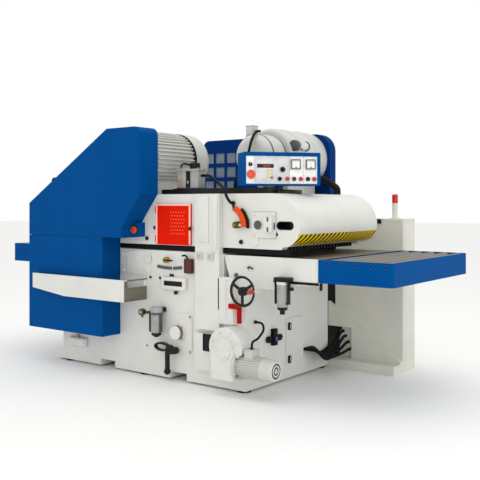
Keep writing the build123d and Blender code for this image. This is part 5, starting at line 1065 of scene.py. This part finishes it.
class PLANER_OT_air_filters(bpy.types.Operator):
    """The two air filters with bowls, brackets and the gauge"""
    bl_idname = "planer.air_filters"
    bl_label = "Air filters"

    def execute(self, context):
        x, y, neck, gauge_x = -30, -645, 454, -160
        head = drum((x, y, neck), "+Z", 46, 42, 16, 48, 6)
        band = drum((x, y, neck - 6), "+Z", 14, 44, 3)
        bowl = drum((x, y, neck - 128), "+Z", 128, 38, 4, 40, 3)
        strip = slab((x + 36, y - 15, neck - 124), (x + 42, y + 15, neck + 4), 2)
        black = [
            slab((x - 28, y + 32, neck + 8), (x + 28, NEAR, neck + 38), 3),
            slab((x - 56, y - 16, neck - 128), (x - 34, y + 16, neck + 16), 4),
            drum((x, y, neck - 148), "+Z", 22, 34, 6, 40, 3),
            drum((x, y, neck - 158), "+Z", 12, 18, 3),
            slab((gauge_x - 1, y - 21, neck), (gauge_x + 1, y - 20, neck + 14), 0.2),
        ]
        gauge = [
            drum((gauge_x, y, neck), "+X", 96, 9, 1),
            hollow_front(drum((gauge_x, y + 12, neck), "-Y", 34, 23, 3, 40, 3), "-Y", 6, 4),
            drum((gauge_x, y - 3, neck - 22), "-Z", 16, 8, 1.5, 6),
        ]
        gauge_face = drum((gauge_x, y - 19, neck), "-Y", 1, 16, 0.3)
        fit("air_filter_set", "base", "grey_plastic", "air_filter", grey_plastic=[head, gauge_face],
            dark_grey_plastic=[band, strip], black_plastic=black, smoky_bowl_plastic=bowl, dark_brass=gauge)

        low, high = corners("bed_air_filter")
        x, y = (low.x + high.x) / 2, high.y - 44
        top = high.z - 26
        front, back = y - 13, y + 13
        bar = slab((low.x, front, top - 130), (low.x + 8, back, top + 4), 2)
        black = [
            slab((low.x, high.y - 69, top), (high.x, high.y, high.z), 5, 3),
            row(bar, 2, (high.x - low.x - 8, 0, 0)),
            slab((low.x, front, top - 134), (high.x, back, top - 126), 2),
            drum((x, y, top - 170), "+Z", 24, 31, 6, 40, 3),
            drum((x, y, top - 196), "+Z", 28, 16, 4),
            drum((high.x, y, top - 40), "+X", 26, 12, 2, 6),
        ]
        bowl = drum((x, y, top - 152), "+Z", 152, 34, 5, 40, 3)
        neck = drum((x, y, top - 18), "+Z", 18, 36, 4)
        fit("bed_air_filter_set", "infeed_unit", "grey_plastic", "bed_air_filter", black_plastic=black,
            smoky_bowl_plastic=bowl, pale_grey_plastic=neck)
        return {"FINISHED"}


class PLANER_OT_handwheel(bpy.types.Operator):
    """Handwheel with a bright edge on its black rim, black spokes and a red grip"""
    bl_idname = "planer.handwheel"
    bl_label = "Handwheel"

    def execute(self, context):
        low, high = corners("handwheel")
        x, z, face = 737, (low.z + high.z) / 2, -704
        reach = (high.z - low.z) / 2 - 9
        rim = hoop((x, face + 9, z), "-Y", reach, 9, 64)
        edge = hoop((x, face + 9, z), "+Y", reach + 5, 5, 64)
        spoke = slab((16, face, -9), (reach - 4, face + 12, 9), 4, 3)
        onto_axis = Matrix.Translation(Vector((x, 0, z)) * MM)
        turns = [Matrix.Rotation(-radians(angle), 4, "Y") for angle in (30, 150, 270)]
        spokes = repeat(spoke, [onto_axis @ turn for turn in turns])
        hub = drum((x, face + 34, z), "-Y", 40, 28, 4, 40, 3)
        nut = drum((x, face - 6, z), "-Y", 6, 10, 1.5, 6)
        shaft = drum((x, face + 30, z), "+Y", 134, 10)
        turn = radians(3)
        grip_x, grip_z = x + reach * cos(turn), z + reach * sin(turn)
        grip = drum((grip_x, face - 4, grip_z), "-Y", 48, 13, 5, 32, 4)
        neck = drum((grip_x, face + 8, grip_z), "-Y", 14, 8)
        fit("handwheel_set", "handwheel", "black_plastic", "handwheel",
            black_plastic=[rim, spokes, hub, nut], polished_chrome=[edge, neck], turned_steel=shaft,
            red_plastic=grip)
        return {"FINISHED"}


class PLANER_OT_scale_and_vent(bpy.types.Operator):
    """Scale marks, a black strip that paints the shade inside the column slit, and the vent's louvres"""
    bl_idname = "planer.scale_and_vent"
    bl_label = "Scale and vent"

    def execute(self, context):
        left, bottom, pitch = 540, 470, 12
        short = slab((left, COLUMN_FACE - 1, bottom), (left + 12, COLUMN_FACE, bottom + 2), 0.3)
        long = slab((left, COLUMN_FACE - 1, bottom), (left + 24, COLUMN_FACE, bottom + 2), 0.3)
        steps = [number for number in range(21) if number % 5]
        marks = [row(long, 5, (0, 0, pitch * 5)), repeat(short, [(0, 0, pitch * step) for step in steps])]
        fit("scale_marks", "base", "grey_plastic", grey_plastic=marks)
        # A black strip set inside the column slit paints the shade there
        slit_shade = slab((479, COLUMN_FACE + 2, 520), (488, COLUMN_FACE + 14, 722), 0.5)
        left, right, bottom, top, face = 358, 446, 244, 356, NEAR - 40
        window = hollow_front(slab((left, face - 8, bottom), (right, face, top), 2), "-Y", 5, 5)
        louvre = slab((left + 6, face - 6, bottom + 8), (right - 6, face - 2, bottom + 17), 2)
        louvres = row(louvre, 5, (0, 0, 18))
        fit("vent_louvres", "base", "black_plastic", black_plastic=[slit_shade, window, louvres])
        return {"FINISHED"}


class PLANER_OT_end_fittings(bpy.types.Operator):
    """Latches, valve, conduit glands and cable ways at the infeed end of the base, with black blocks that
    paint the shade in the gaps by the cabinet and under the bed
    """
    bl_idname = "planer.end_fittings"
    bl_label = "End fittings"

    def execute(self, context):
        latch_y, latch_z, apart = -94, 142, 224
        low = (BASE_END + 6, latch_y - 12, latch_z - 25)
        high = (BASE_END + 22, latch_y + 12, latch_z + 25)
        latch = hollow_front(slab(low, high, 3, 3), "+X", 5, 3)
        fit("hatch_latches", "end_hatch", "black_plastic", black_plastic=row(latch, 2, (0, 0, apart)))
        valve_z = 309
        knob = drum((BASE_END + 26, -278, valve_z), "+X", 10, 13, 3, 32, 3)
        ports = [drum((BASE_END + 12, y, valve_z), axis, 12, 10, 2, 6)
                 for y, axis in ((-352, "-Y"), (-196, "+Y"))]
        fit("valve_knob", "base", "black_plastic", valve_blue_plastic=knob, black_plastic=ports)
        # The conduits leave the base side by side and reach the cabinet in a fan
        pitch, heights = 22, (124, 172, 214, 248, 266)
        base_gland = drum((BASE_END, 112, 178), "+X", 16, 12.2, 2, 12)
        port_gland = drum((790, CABINET_FACE, 0), "-Y", 16, 12.2, 2, 12)
        glands = [
            row(base_gland, len(heights), (0, pitch, 0)),
            repeat(port_gland, [(-pitch * number, 0, z) for number, z in enumerate(heights)]),
            drum((BASE_END, -480, 442), "+X", 16, 11, 2, 12),
            drum((FEED_LID_X, FEED_Y, corners("feed_motor")[1].z), "+Z", 16, 11, 2, 12),
        ]
        fit("conduit_glands", "base", "black_plastic", black_plastic=glands)
        front, back = CABINET_FACE - 3, CABINET_FACE - 0.2
        seam, bottom, top = 694, 64, 282
        # Black strip, trunk and block paint the shade in the gap between the base and the cabinet and under
        # the bed's end
        gap_shade_strip = slab((614, front, bottom), (seam, back, top), 1)
        shield = slab((seam, front, bottom), (807, back, top), 1)
        fit("port_shield", "base", "cabinet_paint", cabinet_powder_coat=shield)
        gap_shade_trunk = slab((572, CABINET_FACE + 12, 3), (CABINET_LOW.x - 0.2, CABINET_FACE + 66, 716), 3)
        bed_gap_shade_block = slab((BASE_END, 318, 566), (BASE_END + 10, 348, 622), 3)
        gland = slab((1008, CABINET_FACE - 18, 1054), (1034, CABINET_FACE, 1086), 3)
        fit("cable_ways_and_gap_shade", "base", "black_plastic", black_plastic=[gap_shade_strip, gap_shade_trunk, bed_gap_shade_block, gland])
        return {"FINISHED"}


class PLANER_OT_infeed_trim(bpy.types.Operator):
    """Axle caps of the table rollers, wear plates and lip of the infeed unit"""
    bl_idname = "planer.infeed_trim"
    bl_label = "Infeed trim"

    def execute(self, context):
        low, high = corners(TABLE_ROLLERS[0])
        axles = [Vector((axle.x, 0, axle.z)) for axle in map(middle_of, TABLE_ROLLERS)]
        near_caps = repeat(drum((0, low.y, 0), "-Y", 1, 9, 0.2, 24), axles)
        far_caps = repeat(drum((0, high.y, 0), "+Y", 3, 12, 1, 24), axles)
        fit("axle_caps", "infeed_unit", "blue_paint", navy_powder_coat=[near_caps, far_caps])
        low, high = corners("infeed_bed")
        bed = high.z
        plate = slab((low.x + 2, low.y + 2, bed), (high.x + 14, high.y - 2, bed + 1), 0.3)
        low, high = corners("infeed_table")
        strip = slab((low.x + 14, 0, high.z), (high.x - 16, 16, high.z + 1), 0.3)
        strips = repeat(strip, [(0, low.y + 1, 0), (0, high.y - 17, 0)])
        fit("infeed_wear_plates", "infeed_unit", "ground_steel", rolled_steel=[plate, strips])
        lip = slab((492, FAR - 6, bed), (744, FAR - 2, bed + 16), 1)
        fit("infeed_lip", "infeed_unit", "black_rubber", black_rubber=lip)
        return {"FINISHED"}


class PLANER_OT_cabinet_fittings(bpy.types.Operator):
    """Beacon, seams, door louvres and hinges of the electrical cabinet"""
    bl_idname = "planer.cabinet_fittings"
    bl_label = "Cabinet fittings"

    def execute(self, context):
        low, high = corners("beacon_lens")
        x, y = (low.x + high.x) / 2, (low.y + high.y) / 2
        lens = drum((x, y, low.z), "+Z", high.z - low.z, 21, 9, 40, 5)
        ribs = row(hoop((x, y, low.z + 10), "+Z", 21, 2), 5, (0, 0, 10))
        collar = drum((x, y, low.z - 10), "+Z", 12, 22.4, 3)
        foot = drum((x, y, CABINET_ROOF), "+Z", 8, 34, 3)
        fit("beacon_set", "base", "red_plastic", "beacon_lens", red_lens=[lens, ribs],
            cabinet_powder_coat=[collar, foot])
        low, high = CABINET_LOW, CABINET_HIGH
        brim, eaves = CABINET_ROOF + 2, CABINET_ROOF - 16
        sheet = 1.6
        rims = [slab((low.x - 2, low.y - 1.5, eaves), (high.x + 2, low.y, brim)),
                slab((high.x, low.y - 1.5, eaves), (high.x + sheet, high.y, brim))]
        side = slab((0, low.y + 18, 70), (sheet, high.y - 14, CABINET_ROOF - 30))
        sides = repeat(side, [(high.x, 0, 0), (low.x - sheet, 0, 0)])
        fit("cabinet_trim", "base", "cabinet_paint", cabinet_powder_coat=[*rims, sides])
        low, high = corners("cabinet_door")
        slot = slab((low.x + 190, high.y - 1, 170), (low.x + 310, high.y + 2.5, 177), 2)
        slots = row(row(slot, 8, (0, 0, 20)), 2, (150, 0, 0))
        fit("door_louvres", "cabinet_door", "cabinet_paint", cabinet_powder_coat=slots)
        knuckle = drum((high.x - 8, high.y, 0), "+Z", 60, 6, 2, 24)
        knuckles = repeat(knuckle, [(0, 0, z) for z in (160, 520, 900)])
        fit("door_hinges", "base", "cabinet_paint", cabinet_powder_coat=knuckles)
        return {"FINISHED"}


class PLANER_OT_far_side_fittings(bpy.types.Operator):
    """Covers, bearing caps, louvres and pads on the far side, and the outfeed's wear plate"""
    bl_idname = "planer.far_side_fittings"
    bl_label = "Far side fittings"

    def execute(self, context):
        spans, bottom, top, inset = ((-930, -420), (-340, 220)), 150, 560, 24
        panels = [slab((left, FAR, bottom), (right, FAR + 5, top), 2) for left, right in spans]
        places = [(x, FAR + 5, z) for left, right in spans
                  for x in (left + inset, (left + right) / 2, right - inset)
                  for z in (bottom + inset, top - inset)]
        fit("far_panels", "base", "white_paint", white_enamel=panels,
            turned_steel=round_screws(places, "+Y", 9))
        axles = [middle_of(node) for node in ("upper_cutterhead", "infeed_roller")]
        cap = hollow_front(drum((0, FAR, 0), "+Y", 16, 62, 4, 48, 3), "+Y", 14, 3)
        caps = repeat(cap, [(axle.x, 0, axle.z) for axle in axles])
        places = [place for axle in axles for place in ring_places((axle.x, FAR + 13, axle.z), 40, 6, 30)]
        screws = bolts(places, "+Y", 13)
        fit("far_bearing_caps", "head", "white_paint", white_enamel=caps, turned_steel=screws)
        low, high = corners("rear_guard")
        places = [(x, high.y, z) for x in (low.x + 30, 110, high.x - 30) for z in (low.z + 30, 1500)]
        fit("rear_guard_screws", "head", "blue_paint", navy_powder_coat=round_screws(places, "+Y"))
        louvre = slab((-400, high.y - 1, 1340), (-250, high.y + 6, 1352), 4, 3)
        louvres = row(row(louvre, 5, (0, 0, 34)), 5, (190, 0, 0))
        fit("rear_guard_louvres", "head", "blue_paint", navy_powder_coat=louvres)
        low, high = corners("outfeed_table")
        plate = slab((low.x + 12, low.y + 12, high.z), (high.x - 4, high.y - 12, high.z + 1), 0.3)
        fit("outfeed_wear_plate", "base", "ground_steel", rolled_steel=plate)
        pad = slab((310, FAR_COLUMN_FACE, 948), (466, FAR_COLUMN_FACE + 7, 1250), 3)
        fit("far_column_pads", "head", "white_paint", white_enamel=pad)
        return {"FINISHED"}


class PLANER_PT_panel(bpy.types.Panel):
    """Lists what dresses the planer"""
    bl_idname = "PLANER_PT_panel"
    bl_label = "Planer"
    bl_space_type = "VIEW_3D"
    bl_region_type = "UI"
    bl_category = "Planer"

    def draw(self, context):
        for group in (context.scene.planer_colours, context.scene.planer_sizes):
            for name in group.bl_rna.properties.keys():
                if name not in ("rna_type", "name"):
                    self.layout.prop(group, name)
        for operator in OPERATORS:
            self.layout.operator(operator.bl_idname)


OPERATORS = (
    PLANER_OT_finishes, PLANER_OT_stage, PLANER_OT_guard_stop, PLANER_OT_guard_fixings, PLANER_OT_tray,
    PLANER_OT_red_door, PLANER_OT_columns, PLANER_OT_bearing_plate, PLANER_OT_brake, PLANER_OT_head_trim,
    PLANER_OT_hazard_band, PLANER_OT_control_panel, PLANER_OT_lubricator, PLANER_OT_head_motors,
    PLANER_OT_feed_drive, PLANER_OT_instruments, PLANER_OT_bed_fittings, PLANER_OT_air_filters,
    PLANER_OT_handwheel, PLANER_OT_scale_and_vent, PLANER_OT_end_fittings, PLANER_OT_infeed_trim,
    PLANER_OT_cabinet_fittings, PLANER_OT_far_side_fittings,
)
CLASSES = (PlanerColours, PlanerSizes, *OPERATORS, PLANER_PT_panel)


def register():
    for cls in CLASSES:
        bpy.utils.register_class(cls)
    bpy.types.Scene.planer_colours = bpy.props.PointerProperty(type=PlanerColours)
    bpy.types.Scene.planer_sizes = bpy.props.PointerProperty(type=PlanerSizes)


def unregister():
    del bpy.types.Scene.planer_sizes
    del bpy.types.Scene.planer_colours
    for cls in reversed(CLASSES):
        bpy.utils.unregister_class(cls)


def main():
    register()
    for operator in OPERATORS:
        group, name = operator.bl_idname.split(".")
        getattr(getattr(bpy.ops, group), name)()


if __name__ == "__main__":
    main()
